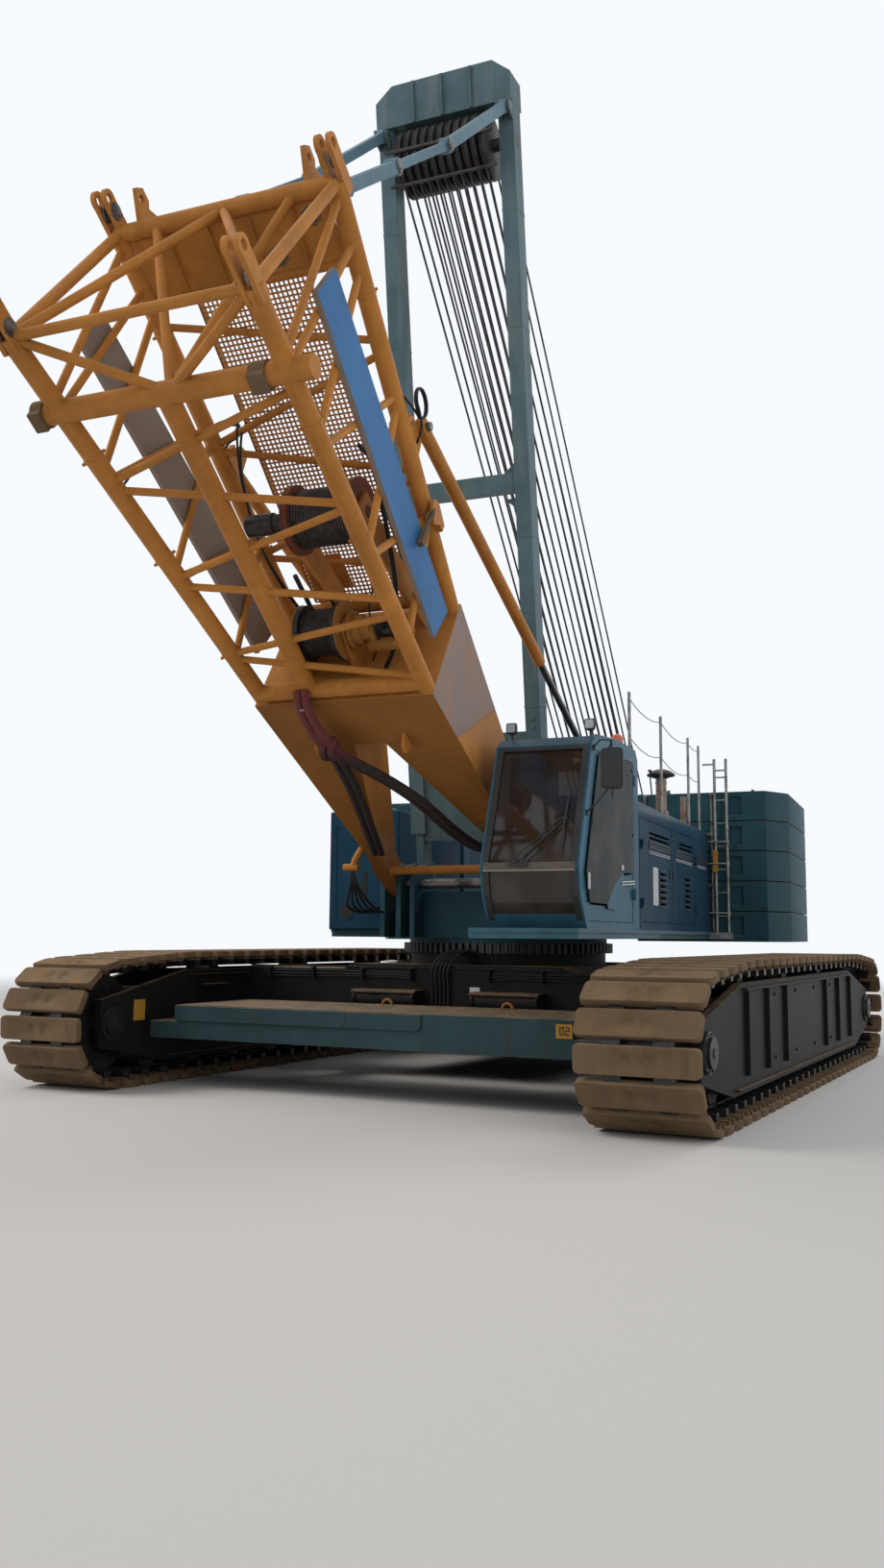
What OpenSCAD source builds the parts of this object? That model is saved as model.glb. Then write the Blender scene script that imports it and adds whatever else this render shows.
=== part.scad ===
// Crawler crane with the foot section of its lattice boom fitted, standing parked.
// Millimetres, +Z up. The origin is on the ground below the slewing centre, the tracks
// run along Y with their front at -Y, and +X is the side of the operator's cab.

/* [Tracks] */
// Distance between the centre lines of the two tracks
track_gauge = 7200; // [6900:50:7600]
// Width of a track shoe
shoe_w = 1200; // [1000:50:1300]
// Number of shoes on one track
shoe_count = 64; // [60:1:68]
// Outer radius of a track round its end wheels
track_end_r = 760; // [730:10:790]
// Distance from the middle of the machine to an end wheel's axle
end_wheel_y = 4450; // [4300:50:4600]
// Height of the flat top run of a track
track_top = 1600; // [1570:5:1620]
// Half the length of the flat top run
top_run_y = 3200; // [2900:50:3400]
// Number of bottom rollers in one track
roller_count = 9; // [7:1:9]

/* [Carbody] */
// Half the width of the carbody's centre box
carbody_x = 1500; // [1400:20:1600]
// Half the length of the carbody, out to the faces of its cross beams
carbody_y = 1750; // [1650:20:1850]
// Height of the carbody's top plate
carbody_top = 1450; // [1400:10:1460]
// Outer radius of the toothed slewing ring
ring_r = 1450; // [1350:10:1480]
// Teeth on the slewing ring
ring_teeth = 90; // [72:2:100]
// Length of a ballast slab along the machine
ballast_l = 1500; // [1300:50:1600]
// Thickness of a ballast slab
ballast_h = 200; // [160:10:220]

/* [Superstructure] */
// Angle that the superstructure stands turned on its ring
slew = 5.8; // [0:0.1:12]
// Underside of the superstructure's deck
deck_z = 1800; // [1780:5:1820]
// Half the width of the deck's main box
deck_half_w = 1150; // [1140:5:1170]
// Rear end of the deck, measured from the slewing centre
deck_rear = 6350; // [6250:20:6450]
// Outer face of the house and of the cab
house_x = 2300; // [2250:10:2400]
// Height of the house roof
house_top = 3540; // [3440:10:3640]
// Radius of the house roof's outer edge
house_round = 250; // [200:10:280]
// Rear wall of the house
house_rear = 2830; // [2700:10:2950]
// Number of slabs in one counterweight stack
slab_count = 5; // [3:1:6]
// Height of one counterweight slab
slab_h = 468; // [400:4:480]

/* [Cab] */
// Length of the cab along its floor
cab_l = 2640; // [2500:20:2700]
// Height of the cab
cab_h = 2130; // [2050:10:2180]
// Distance that the windscreen leans back from its foot to its top
cab_lean = 530; // [400:10:560]
// Thickness of the cab's walls
cab_wall = 60; // [50:1:70]

/* [Boom] */
// Height of the boom's foot pins
boom_foot_z = 2500; // [2480:5:2560]
// Distance of the boom's foot pins ahead of the slewing centre
boom_foot_y = 1500; // [1480:5:1540]
// Elevation of the boom above the horizontal
boom_elev = 34.5; // [30:0.5:40]
// Length of the boom section from its foot pins to its upper head pins
boom_l = 8740; // [8680:10:8800]
// Half the width between the chords' centre lines at the head
boom_half_w = 1120; // [1100:2:1140]
// Half the width between the chords' centre lines at the plate box
boom_base_w = 930; // [910:2:960]
// Half the depth between the chords' centre lines at the head
boom_half_d = 1065; // [1040:5:1090]
// Half the depth between the chords' centre lines at the plate box
boom_base_d = 590; // [570:5:610]
// Length of the plate box at the boom's foot
boom_box_l = 4150; // [4100:10:4200]
// Radius of a chord tube
chord_r = 88; // [80:1:92]
// Radius of a lacing tube
lacing_r = 36; // [28:1:40]

/* [A-frame] */
// Height of the A-frame from its foot pins to its head pin
gantry_l = 9870; // [9600:10:10000]
// Angle that the A-frame leans forward
gantry_lean = 8.2; // [6:0.1:10]
// Half the width over the A-frame's legs
gantry_half_w = 940; // [930:1:942]
// Depth of an A-frame leg
gantry_leg_d = 300; // [260:5:340]

/* [Hidden] */
$fn = 48;
belt_t = 170;
shoe_t = 60;
shoe_gap = 45;
fit = 0.3;
arc_steps = 12;
plate_t = 90;
frame_half = 450;
frame_in = frame_half - plate_t;
roller_r = 190;
top_roller_r = 130;
axle_r = 60;
beam_z = 620;
beam_h = 760;
beam_w = 650;
ring_h = 130;
ring_z = carbody_top + 150;
deck_h = 350;
deck_top = deck_z + deck_h;
wing_h = 100;
wing_top = deck_z + wing_h;
house_in = 1250;
pin_r = 55;
lug_gap = 6;
lug_t = 66;
tube_r = 70;
gantry_foot_y = 1050;
gantry_foot_z = 2600;
cab_x = house_x + 30;
cab_w = 1050;
cab_rear = -2060;
cab_front = cab_rear - cab_l;
cab_floor = wing_top;
cab_top = cab_floor + cab_h;
ear_in = 961;
ear_out = 1109;
lug_out = ear_out + lug_gap + lug_t;
pendant_x = gantry_half_w - 90;
base_mid = -90;
head_mid = 55;
low_pin_ahead = 190;
head_ear = 420;
top_rise = atan((head_mid - base_mid + boom_half_d - boom_base_d) / (boom_l - boom_box_l));
ear_gap = 55;
ear_t = 40;
crotch_u = 3370;
crotch_w = 180;
walk_x = -30;
walk_w = 1160;
walk_t = 12;
walk_start = boom_box_l + 230;
board_t = 50;
slab_front = 3000;
slab_rear = 6200;
slab_x = 3470;
slab_z = 1760;
louvre_h = 30;
louvre_pitch = 77;
hinge_out = 20;
drum_y = 1900;
drum_z = 2560;
tail_inset = 300;
tail_y = deck_rear - tail_inset;
tail_z = 4150;
head_pin_y = -250;
sheave_z = 9530;
box_tie = boom_box_l + 100;
box_tie_top = boom_box_l + 150;
spine_tie = boom_l - 850;
plate_tie = boom_l - 950;
plate_tie_r = 40;
head_tie = boom_l - 310;
head_tie_r = 80;
pin_tie = boom_l - 120;
pendant_back = 120;
pendant_u = boom_l - pendant_back;
pendant_v = 1260;
lug_half = 110;
hang_u = boom_l - 490;
hang_v = 1360;
head_link_l = 2670;
head_link_fall = 42;
backstop_x = 1112;
backstop_u = boom_l - 2690;
backstop_v = 1000;
backstop_tube = 4150;
rod_r = 45;
rod_in = 1800;
post_gap = 52;
eye_y = 1000;
eye_z = 4000;
drum_pitch = 1240;
upper_v = 80;
upper_x = 280;
upper_half = 350;
lower_ahead = 410;
lower_u = boom_box_l + lower_ahead;
upper_u = lower_u + drum_pitch;
lower_v = -170;
lower_x = -190;
lower_half = 230;

// Points of an arc in the Y-Z plane
function arc_points(cy, cz, r, a0, a1, n) =
    [for (i = [0:n]) [cy + r * cos(a0 + (a1 - a0) * i / n), cz + r * sin(a0 + (a1 - a0) * i / n)]];

// Angle at which the sloping run meets an end wheel of radius r
function tangent_angle(r, top) =
    let (d = [top_run_y - end_wheel_y, top - track_end_r]) atan2(d[1], d[0]) - acos(r / norm(d));

// Closed outline of a track at end radius r and top height top, bottom run first
function track_path(r, top) =
    concat(arc_points(end_wheel_y, track_end_r, r, -90, tangent_angle(r, top), arc_steps),
        [[top_run_y, top], [-top_run_y, top]],
        arc_points(-end_wheel_y, track_end_r, r, 180 - tangent_angle(r, top), 270, arc_steps));

// Radius of the wheels that the flat-sided inside of the track's ends bears on
inner_r = track_end_r - belt_t;
wheel_r = inner_r * cos((90 + tangent_angle(inner_r, track_top - belt_t)) / (2 * arc_steps)) - fit;

// Length along a closed path up to each of its points
function lengths(path) =
    [for (i = 0, s = 0; i <= len(path); s = s + norm(path[(i + 1) % len(path)] - path[i % len(path)]),
        i = i + 1) s];

// Point at length s along a closed path
function point_at(path, sums, s) =
    let (n = len(path), t = s - floor(s / sums[n]) * sums[n],
        i = max([for (k = [0:n - 1]) if (sums[k] <= t) k]))
    path[i] + (path[(i + 1) % n] - path[i]) * (t - sums[i]) / (sums[i + 1] - sums[i]);

// Outline of a track with its shoes standing out of the chain
function shoe_outline() =
    let (path = track_path(track_end_r, track_top), sums = lengths(path),
        pitch = sums[len(path)] / shoe_count)
    [for (i = [0:shoe_count - 1])
        let (a = point_at(path, sums, i * pitch + shoe_gap / 2),
            b = point_at(path, sums, (i + 1) * pitch - shoe_gap / 2),
            d = (b - a) / norm(b - a), n = [-d[1], d[0]] * shoe_t)
        each [a + n, a, b, b + n]];

// Outline of a gear with square teeth
function gear_points(teeth, root, tip) =
    [for (i = [0:teeth - 1]) let (a = 360 / teeth)
        each [root * [cos(a * i), sin(a * i)], tip * [cos(a * (i + 0.15)), sin(a * (i + 0.15))],
            tip * [cos(a * (i + 0.5)), sin(a * (i + 0.5))],
            root * [cos(a * (i + 0.65)), sin(a * (i + 0.65))]]];

// Extrusion of a Y-Z outline, centred on X
module along_x(w) {
    translate([-w / 2, 0, 0]) rotate([90, 0, 90]) linear_extrude(w) children();
}

// Round bar along X through the point (y, z)
module bar_x(y, z, r, x0, x1) {
    translate([x0, y, z]) rotate([0, 90, 0]) cylinder(h = x1 - x0, r = r);
}

// Block between two corners
module block(p, q) {
    translate(p) cube(q - p);
}

// Round bar from p to q
module bar(p, q, r) {
    d = q - p;
    translate(p) rotate([0, acos(d[2] / norm(d)), atan2(d[1], d[0])]) cylinder(h = norm(d), r = r);
}

// Both copies of what stands on the +X side
module both_sides() {
    children();
    mirror([1, 0, 0]) children();
}

module carbody() {
    color("#23282b") difference() {
        union() {
            block([-carbody_x, -carbody_y, 550], [carbody_x, carbody_y, carbody_top]);
            for (s = [-1, 1])
                translate([0, s * (carbody_y - beam_w / 2), beam_z + beam_h / 2])
                    cube([track_gauge - 2 * frame_half, beam_w, beam_h], center = true);
            cylinder(h = ring_z, r = ring_r - 100);
        }
        translate([0, 0, -1]) cylinder(h = ring_z + 2, r = 500);
        translate([0, 0, 549 - 600]) cube([4 * carbody_x, 4 * carbody_y, 1200], center = true);
    }
}

module carbody_jacks() {
    color("#2b2f31") for (sx = [-1, 1], sy = [-1, 1]) {
        translate([sx * 850, sy * (carbody_y + 160), 1000]) {
            rotate([0, 90, 0]) cylinder(h = 820, r = 110, center = true);
            translate([0, -sy * 110, 0]) cube([500, 100, 150], center = true);
        }
    }
}

module slewing_ring() {
    color("#3a3a38") translate([0, 0, ring_z]) difference() {
        linear_extrude(ring_h) polygon(gear_points(ring_teeth, ring_r - 45, ring_r));
        translate([0, 0, -1]) cylinder(h = ring_h + 2, r = ring_r - 300);
    }
}

// Two ballast slabs on their carriers, in front of the carbody's beam
module ballast() {
    front = -carbody_y - 750 - ballast_l;
    block([-2550, front, 580 + ballast_h], [2550, front + ballast_l, 580 + 2 * ballast_h]);
    block([-2950, front, 580], [2950, front + ballast_l, 580 + ballast_h]);
    for (s = [-1, 1])
        block([s * 2000 - 200, front + ballast_l, 620], [s * 2000 + 200, -carbody_y, 900]);
}

module ballast_front() {
    color("#3f5f66") ballast();
}

module ballast_rear() {
    color("#3f5f66") mirror([0, 1, 0]) ballast();
}

module track_frame() {
    plate = [[-end_wheel_y - 200, 480], [-3500, 250], [3500, 250], [end_wheel_y + 200, 480],
        [end_wheel_y + 200, 1040], [3100, 1360], [-3100, 1360], [-end_wheel_y - 200, 1040]];
    web_y = end_wheel_y - wheel_r - 110;
    color("#262a2c") {
        for (s = [-1, 1])
            translate([s * (frame_half - plate_t / 2), 0, 0]) along_x(plate_t) polygon(plate);
        block([-frame_in, -web_y, 640], [frame_in, web_y, 1150]);
    }
}

module track_frame_left() {
    translate([track_gauge / 2, 0, 0]) track_frame();
}

module track_frame_right() {
    translate([-track_gauge / 2, 0, 0]) track_frame();
}

module end_wheels() {
    color("#33383a") for (s = [-1, 1])
        translate([s * track_gauge / 2, -end_wheel_y, track_end_r]) {
            bar_x(0, 0, wheel_r, -220, 220);
            bar_x(0, 0, 150, -frame_in, frame_in);
        }
}

module drive_sprockets() {
    color("#33383a") for (s = [-1, 1])
        translate([s * track_gauge / 2, end_wheel_y, track_end_r]) {
            along_x(440) polygon(gear_points(13, wheel_r - 90, wheel_r));
            bar_x(0, 0, 150, -frame_in, frame_in);
        }
}

module track_rollers() {
    pitch = 2 * (end_wheel_y - 850) / (roller_count - 1);
    color("#33383a") for (s = [-1, 1]) translate([s * track_gauge / 2, 0, 0]) {
        for (i = [0:roller_count - 1])
            translate([0, -end_wheel_y + 850 + i * pitch, belt_t + roller_r + fit]) {
                bar_x(0, 0, roller_r, -260, 260);
                bar_x(0, 0, axle_r, -frame_in, frame_in);
            }
        for (y = [-2200, 0, 2200])
            translate([0, y, track_top - belt_t - top_roller_r - fit]) {
                bar_x(0, 0, top_roller_r, -200, 200);
                bar_x(0, 0, 40, -frame_in, frame_in);
            }
    }
}

module travel_drives() {
    color("#262a2c") for (s = [-1, 1])
        translate([s * (track_gauge / 2 - frame_half), end_wheel_y, track_end_r])
            rotate([0, -90 * s, 0]) {
                cylinder(h = 160, r = 330);
                cylinder(h = 420, r = 210);
            }
}

module track_loop() {
    color("#6e6150") along_x(shoe_w) difference() {
        polygon(shoe_outline());
        polygon(track_path(track_end_r - belt_t, track_top - belt_t));
    }
}

module track_left() {
    translate([track_gauge / 2, 0, 0]) track_loop();
}

module track_right() {
    translate([-track_gauge / 2, 0, 0]) track_loop();
}

// Frame of the superstructure, turned on the slewing ring
module on_deck() {
    rotate([0, 0, slew]) children();
}

module deck() {
    lug = [[-boom_foot_y - 230, deck_z], [-boom_foot_y - 230, boom_foot_z + 110],
        [-boom_foot_y - 110, boom_foot_z + 220], [-gantry_foot_y, gantry_foot_z + 200],
        [-gantry_foot_y + 180, gantry_foot_z + 110], [-500, deck_top], [-500, deck_z]];
    color("#23525f") on_deck() difference() {
        union() {
            translate([0, 0, ring_z + ring_h + 0.5]) cylinder(h = deck_z - ring_z - ring_h, r = ring_r - 80);
            block([-deck_half_w, -boom_foot_y + 100, deck_z], [deck_half_w, deck_rear, deck_top]);
            block([-700, -boom_foot_y + 100, deck_top], [700, -1200, boom_foot_z - 100]);
            both_sides() {
                for (x = [730, ear_in - lug_gap - lug_t / 2, lug_out - lug_t / 2])
                    along_x_at(x, lug_t) polygon(lug);
                block([backstop_x - 112, eye_y - 120, deck_top],
                    [backstop_x - post_gap, eye_y + 120, eye_z + 80]);
                block([480, drum_y - 500, deck_top], [520, drum_y + 500, drum_z + 220]);
                block([deck_half_w, -boom_foot_y + 600, deck_z], [house_x, house_rear + 130, wing_top]);
            }
        }
        bar_x(-boom_foot_y, boom_foot_z, pin_r, -1300, 1300);
        bar_x(-gantry_foot_y, gantry_foot_z, pin_r, -960, 960);
        bar_x(drum_y, drum_z, axle_r + fit, -600, 600);
    }
}

module foot_pins() {
    color("#c98a1e") on_deck() {
        bar_x(-boom_foot_y, boom_foot_z, pin_r - fit, -1190, 1190);
        bar_x(-boom_foot_y, boom_foot_z, pin_r + 10, -694, 694);
        both_sides() bar_x(-gantry_foot_y, gantry_foot_z, pin_r - fit, 696, 958);
    }
}

module cab_platform() {
    color("#2f6b7a") on_deck()
        block([lug_out, cab_front - 60, deck_z], [cab_x, -boom_foot_y + 600, wing_top]);
}

// Side outline of the cab, drawn t inside its outer face
function cab_outline(t) = [
    [cab_rear - t, cab_floor + t],
    [cab_rear - t, cab_top - 110 - 0.4 * t],
    [cab_rear - 120 - 0.4 * t, cab_top - t],
    [cab_rear - 900, cab_top - t],
    [cab_front + cab_lean + 150 + 0.4 * t, cab_top - 100 - t],
    [cab_front + cab_lean + t, cab_top - 200 - 0.4 * t],
    [cab_front + t, cab_floor + 640],
    [cab_front + 70 + t, cab_floor + 330],
    [cab_front + 230 + 0.6 * t, cab_floor + 80 + 0.6 * t],
    [cab_front + 300, cab_floor + t]];

// Outline of the door hole, drawn t inside the hole
function door_outline(t) = [
    [cab_rear - 300 - t, cab_floor + 80 + t],
    [cab_rear - 300 - t, cab_top - 160 - t],
    [cab_front + cab_lean + 200 + t, cab_top - 260 - t],
    [cab_front + 170 + t, cab_floor + 560],
    [cab_front + 380 + t, cab_floor + 80 + t]];

// Outline of the door's window
door_window = [
    [cab_rear - 360, cab_floor + 640],
    [cab_rear - 360, cab_top - 230],
    [cab_front + cab_lean + 270, cab_top - 330],
    [cab_front + 250, cab_floor + 620],
    [cab_front + 430, cab_floor + 250],
    [cab_rear - 1250, cab_floor + 250],
    [cab_rear - 1130, cab_floor + 450],
    [cab_rear - 900, cab_floor + 600]];

// Window holes of the cab as blocks
module cab_windows() {
    half = cab_w / 2 - cab_wall - 12;
    mid = cab_x - cab_w / 2;
    block([mid - half, cab_front - 20, cab_floor + 660],
        [mid + half, cab_front + cab_lean + 60, cab_top - 230]);
    block([mid - half, cab_front - 20, cab_floor + 150], [mid + half, cab_front + 220, cab_floor + 590]);
    block([mid - half, cab_rear - 200, cab_floor + 800], [mid + half, cab_rear + 20, cab_top - 200]);
    block([cab_x - cab_w - 20, cab_front + cab_lean + 200, cab_floor + 640],
        [mid - half, cab_rear - 500, cab_top - 240]);
}

module cab_skin(t0, t1) {
    difference() {
        translate([cab_x - cab_w / 2, 0, 0]) along_x(cab_w - 2 * t0) polygon(cab_outline(t0));
        translate([cab_x - cab_w / 2, 0, 0]) along_x(cab_w - 2 * t1) polygon(cab_outline(t1));
    }
}

// Hinge barrels of a door plate: outer wall face at wall_x, door on the side of sy from y
module door_barrels(wall_x, y, sy, heights) {
    for (z = heights) difference() {
        union() {
            translate([wall_x + hinge_out, y, z]) cylinder(h = 90, r = 16);
            block([wall_x - 8, min(y + sy * 40, y + sy * 2), z],
                [wall_x + hinge_out, max(y + sy * 40, y + sy * 2), z + 90]);
        }
        translate([wall_x + hinge_out, y, z - 1]) cylinder(h = 92, r = 8 + fit);
    }
}

// Hinge pins on the wall beside the door
module door_pins(wall_x, y, sy, heights) {
    for (z = heights) {
        block([wall_x, min(y - sy * 50, y + sy * 10), z - 30 - fit],
            [wall_x + hinge_out + 14, max(y - sy * 50, y + sy * 10), z - fit]);
        translate([wall_x + hinge_out, y, z - 10]) cylinder(h = 110, r = 8);
    }
}

cab_hinges = [cab_floor + 380, cab_top - 420];
door_top = house_top - house_round - 20;
house_hinges = [wing_top + 300, door_top - 360];
house_wall = 40;

module cab_shell() {
    color("#2c6672") on_deck() {
        difference() {
            cab_skin(0, cab_wall);
            cab_windows();
            translate([cab_x - cab_wall, 0, 0]) along_x(2 * cab_wall + 20) polygon(door_outline(0));
        }
        door_pins(cab_x, cab_rear - 300, -1, cab_hinges);
    }
}

module cab_glass() {
    color("#31424a") on_deck() intersection() {
        cab_skin(18, 28);
        cab_windows();
    }
}

module cab_door() {
    color("#2c6672") on_deck() {
        difference() {
            translate([cab_x - 28, 0, 0]) along_x(44) polygon(door_outline(6));
            translate([cab_x - 28, 0, 0]) along_x(60) polygon(door_window);
        }
        door_barrels(cab_x, cab_rear - 300, -1, cab_hinges);
    }
}

module door_glass() {
    color("#31424a") on_deck() translate([cab_x - 28, 0, 0]) along_x(8) polygon(door_window);
}

module operator_seat() {
    x = cab_x - cab_w / 2;
    floor = cab_floor + cab_wall;
    color("#26282a") on_deck() {
        block([x - 160, cab_rear - 1150, floor], [x + 160, cab_rear - 850, floor + 330]);
        block([x - 250, cab_rear - 1300, floor + 330], [x + 250, cab_rear - 760, floor + 460]);
        block([x - 240, cab_rear - 860, floor + 460], [x + 240, cab_rear - 740, floor + 1180]);
    }
}

module cab_console() {
    x = cab_x - cab_w / 2;
    floor = cab_floor + cab_wall;
    color("#2d2f31") on_deck() for (s = [-1, 1]) {
        block([x + s * 360 - 70, cab_rear - 1500, floor], [x + s * 360 + 70, cab_rear - 800, floor + 620]);
        translate([x + s * 360, cab_rear - 1400, floor + 620]) cylinder(h = 180, r = 18);
    }
}

module cab_lamps() {
    front = cab_front + cab_lean + 150;
    stem_r = 16;
    base = cab_top - 100 + 100 * (30 + stem_r) / (cab_rear - 900 - front) + fit;
    color("#6a6e70") on_deck() {
        for (x = [cab_x - cab_w + 120, cab_x - 60]) translate([x, front, base]) {
            translate([0, 30, 0]) cylinder(h = 90, r = stem_r);
            block([-62, -50, 70], [62, 50, 190]);
        }
        translate([cab_x - 150, cab_rear - 400, cab_top]) cylinder(h = 110, r = 55);
    }
}

module mirror_arm() {
    color("#202224") on_deck() {
        for (z = [[240, 350], [950, 750]]) {
            y = cab_front + cab_lean * (cab_top - z[0] - cab_floor - 640) / (cab_h - 840) + 60;
            block([cab_x, y - 20, cab_top - z[0] - 20], [cab_x + 24, y + 20, cab_top - z[0] + 20]);
            bar([cab_x + 12, y, cab_top - z[0]], [cab_x + 300, cab_front + 192, cab_top - z[1]], 9);
        }
        block([cab_x + 180, cab_front + 170, cab_top - 800], [cab_x + 410, cab_front + 215, cab_top - 310]);
    }
}

// House with a rounded roof edge, drawn t inside its outer face
module house_block(t) {
    r = house_round - t;
    y0 = -1980 + t;
    block([house_in + t, y0, wing_top], [house_x - t - r, house_rear - t, house_top - t]);
    block([house_in + t, y0, wing_top], [house_x - t, house_rear - t, house_top - t - r]);
    translate([house_x - t - r, y0, house_top - t - r]) rotate([-90, 0, 0])
        cylinder(h = house_rear - t - y0, r = r);
}

// First and last point of each house door along Y
house_doors = [[-1800, 60], [110, 1760]];

module house_left() {
    color("#24566a") on_deck() {
        difference() {
            house_block(0);
            translate([0, 0, -1]) house_block(house_wall);
            for (d = house_doors)
                block([house_x - 60, d[0], wing_top + 100], [house_x + 20, d[1], door_top]);
        }
        door_pins(house_x, house_doors[0][0], 1, house_hinges);
        door_pins(house_x, house_doors[1][1], -1, house_hinges);
    }
}

module house_door(d) {
    difference() {
        block([house_x - 38, d[0] + 8, wing_top + 108], [house_x - 2, d[1] - 8, door_top - 8]);
        for (i = [0:5])
            block([house_x - 60, d[1] - 760, wing_top + 330 + i * louvre_pitch],
                [house_x + 20, d[1] - 360, wing_top + 330 + louvre_h + i * louvre_pitch]);
        for (i = [0:2])
            block([house_x - 60, d[0] + 500, door_top - 290 + i * 60],
                [house_x + 20, d[1] - 120, door_top - 290 + louvre_h + i * 60]);
    }
}

module house_door_front() {
    color("#24566a") on_deck() {
        house_door(house_doors[0]);
        door_barrels(house_x, house_doors[0][0], 1, house_hinges);
    }
}

module house_door_rear() {
    color("#24566a") on_deck() {
        house_door(house_doors[1]);
        door_barrels(house_x, house_doors[1][1], -1, house_hinges);
    }
}

module engine() {
    color("#5a5d5f") on_deck()
        block([house_in + 160, -700, wing_top], [house_x - 180, 1600, wing_top + 1100]);
}

module intake_pipes() {
    color("#b9793a") on_deck() difference() {
        union() {
            translate([house_x - 220, 500, house_top]) {
                translate([0, 0, -house_round]) cylinder(h = 500 + house_round, r = 75);
                translate([0, 0, 500]) cylinder(h = 50, r = 190);
                translate([0, 0, 550]) cylinder(h = 60, r1 = 190, r2 = 60);
            }
            translate([house_x - 330, house_rear - 130, house_top - 20]) cylinder(h = 480, r = 50);
        }
        house_block(-fit);
    }
}

module house_right() {
    color("#24566a") on_deck()
        block([-house_x, -1000, wing_top], [-house_in, house_rear, house_top]);
}

module roof_posts() {
    color("#5b6062") on_deck() difference() {
        for (y = [-1900, -60, 1900, house_rear - 60])
            translate([house_x - 100, y, house_top - house_round]) cylinder(h = 1510, r = 20);
        house_block(-fit);
    }
}

module rear_ladder() {
    color("#8c8f8a") on_deck() {
        block([house_x, house_rear + 40, deck_z], [house_x + 360, house_rear + 120, wing_top]);
        for (x = [house_x + 120, house_x + 300])
            translate([x, house_rear + 80, wing_top]) cylinder(h = 2700, r = 22);
        for (i = [0:6])
            bar_x(house_rear + 80, wing_top + 250 + i * 360, 12, house_x + 120, house_x + 300);
    }
}

module counterweight() {
    plan = [[deck_half_w, slab_front], [slab_x - 290, slab_front], [slab_x, slab_front + 520],
        [slab_x, slab_rear - 200], [slab_x - 200, slab_rear], [deck_half_w, slab_rear]];
    color("#1f5560") difference() {
        union() {
            for (i = [0:slab_count - 1])
                translate([0, 0, slab_z + i * slab_h]) linear_extrude(slab_h - 12) polygon(plan);
            block([deck_half_w, slab_front + 120, slab_z],
                [slab_x - 400, slab_rear - 300, slab_z + slab_count * slab_h - 12]);
        }
        for (i = [0:slab_count - 1])
            block([slab_x - 860, slab_front - 10, slab_z + i * slab_h + 90],
                [slab_x - 660, slab_front + 40, slab_z + i * slab_h + 380]);
    }
}

module counterweight_left() {
    on_deck() counterweight();
}

module counterweight_right() {
    on_deck() mirror([1, 0, 0]) counterweight();
}

module hoist_drum() {
    color("#2b2c2c") on_deck() {
        bar_x(drum_y, drum_z, 260, -470, 470);
        for (s = [-1, 1])
            bar_x(drum_y, drum_z, 330, s * 440 - 30, s * 440 + 30);
        bar_x(drum_y, drum_z, axle_r, -530, 530);
    }
}

module tail_block() {
    color("#3b4a50") on_deck() {
        for (s = [-1, 1])
            block([s * 640 - 20, tail_y - 280, deck_top], [s * 640 + 20, tail_y + 200, tail_z + 200]);
        bar_x(tail_y, tail_z, 70, -640, 640);
        for (i = [-5:5])
            bar_x(tail_y, tail_z, 300, i * 110 - 28, i * 110 + 28);
    }
}

// Frame of the A-frame: origin at its foot pins, Z along its legs
module on_gantry() {
    on_deck() translate([0, -gantry_foot_y, gantry_foot_z]) rotate([gantry_lean, 0, 0]) children();
}

module gantry_frame() {
    leg_in = gantry_half_w - 205;
    color("#3c5a60") on_gantry() difference() {
        both_sides() {
            bar_x(0, 0, 140, 772, 882);
            block([772, -130, 0], [882, 130, 620]);
            block([leg_in, -gantry_leg_d / 2, 600], [gantry_half_w, gantry_leg_d / 2, gantry_l + 110]);
            block([0, -110, 500], [leg_in + 50, 110, 1900]);
            block([0, -90, 5020], [leg_in + 1, 90, 5260]);
            for (x = [pendant_x - 75, pendant_x + 75])
                translate([x, 0, 0]) along_x(30) polygon([[-gantry_leg_d / 2, gantry_l - 140],
                    [head_pin_y - 70, gantry_l - 70], [head_pin_y - 70, gantry_l + 70],
                    [-gantry_leg_d / 2, gantry_l + 100]]);
        }
        bar_x(0, 0, pin_r + 0.2, -1000, 1000);
        bar_x(head_pin_y, gantry_l, 40, -1000, 1000);
        bar_x(0, sheave_z, 80 + fit, -1000, 1000);
    }
}

module gantry_head() {
    top = gantry_l + 110;
    hood = [[-gantry_half_w, top], [gantry_half_w, top], [gantry_half_w, top + 350],
        [gantry_half_w - 240, top + 540], [240 - gantry_half_w, top + 540], [-gantry_half_w, top + 350]];
    color("#3c5a60") on_gantry() {
        translate([0, 210, 0]) rotate([90, 0, 0]) linear_extrude(420) polygon(hood);
        for (x = [-400, 0, 400])
            block([x - 12, -240, top], [x + 12, -210, top + 530]);
    }
}

module gantry_sheaves() {
    color("#2a2c2c") on_gantry() {
        bar_x(0, sheave_z, 80, -gantry_half_w, gantry_half_w);
        for (i = [-5:5])
            bar_x(0, sheave_z, 420, i * 115 - 30, i * 115 + 30);
    }
}

// Ends of a pendant in the superstructure's Y-Z plane
head_pin = [-gantry_foot_y, gantry_foot_z] + head_pin_y * [cos(gantry_lean), sin(gantry_lean)]
    + gantry_l * [-sin(gantry_lean), cos(gantry_lean)];
boom_fore = [-cos(boom_elev), sin(boom_elev)];
boom_up = [sin(boom_elev), cos(boom_elev)];
boom_foot = [-boom_foot_y, boom_foot_z];
hang_pin = boom_foot + hang_u * boom_fore + hang_v * boom_up;
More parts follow.
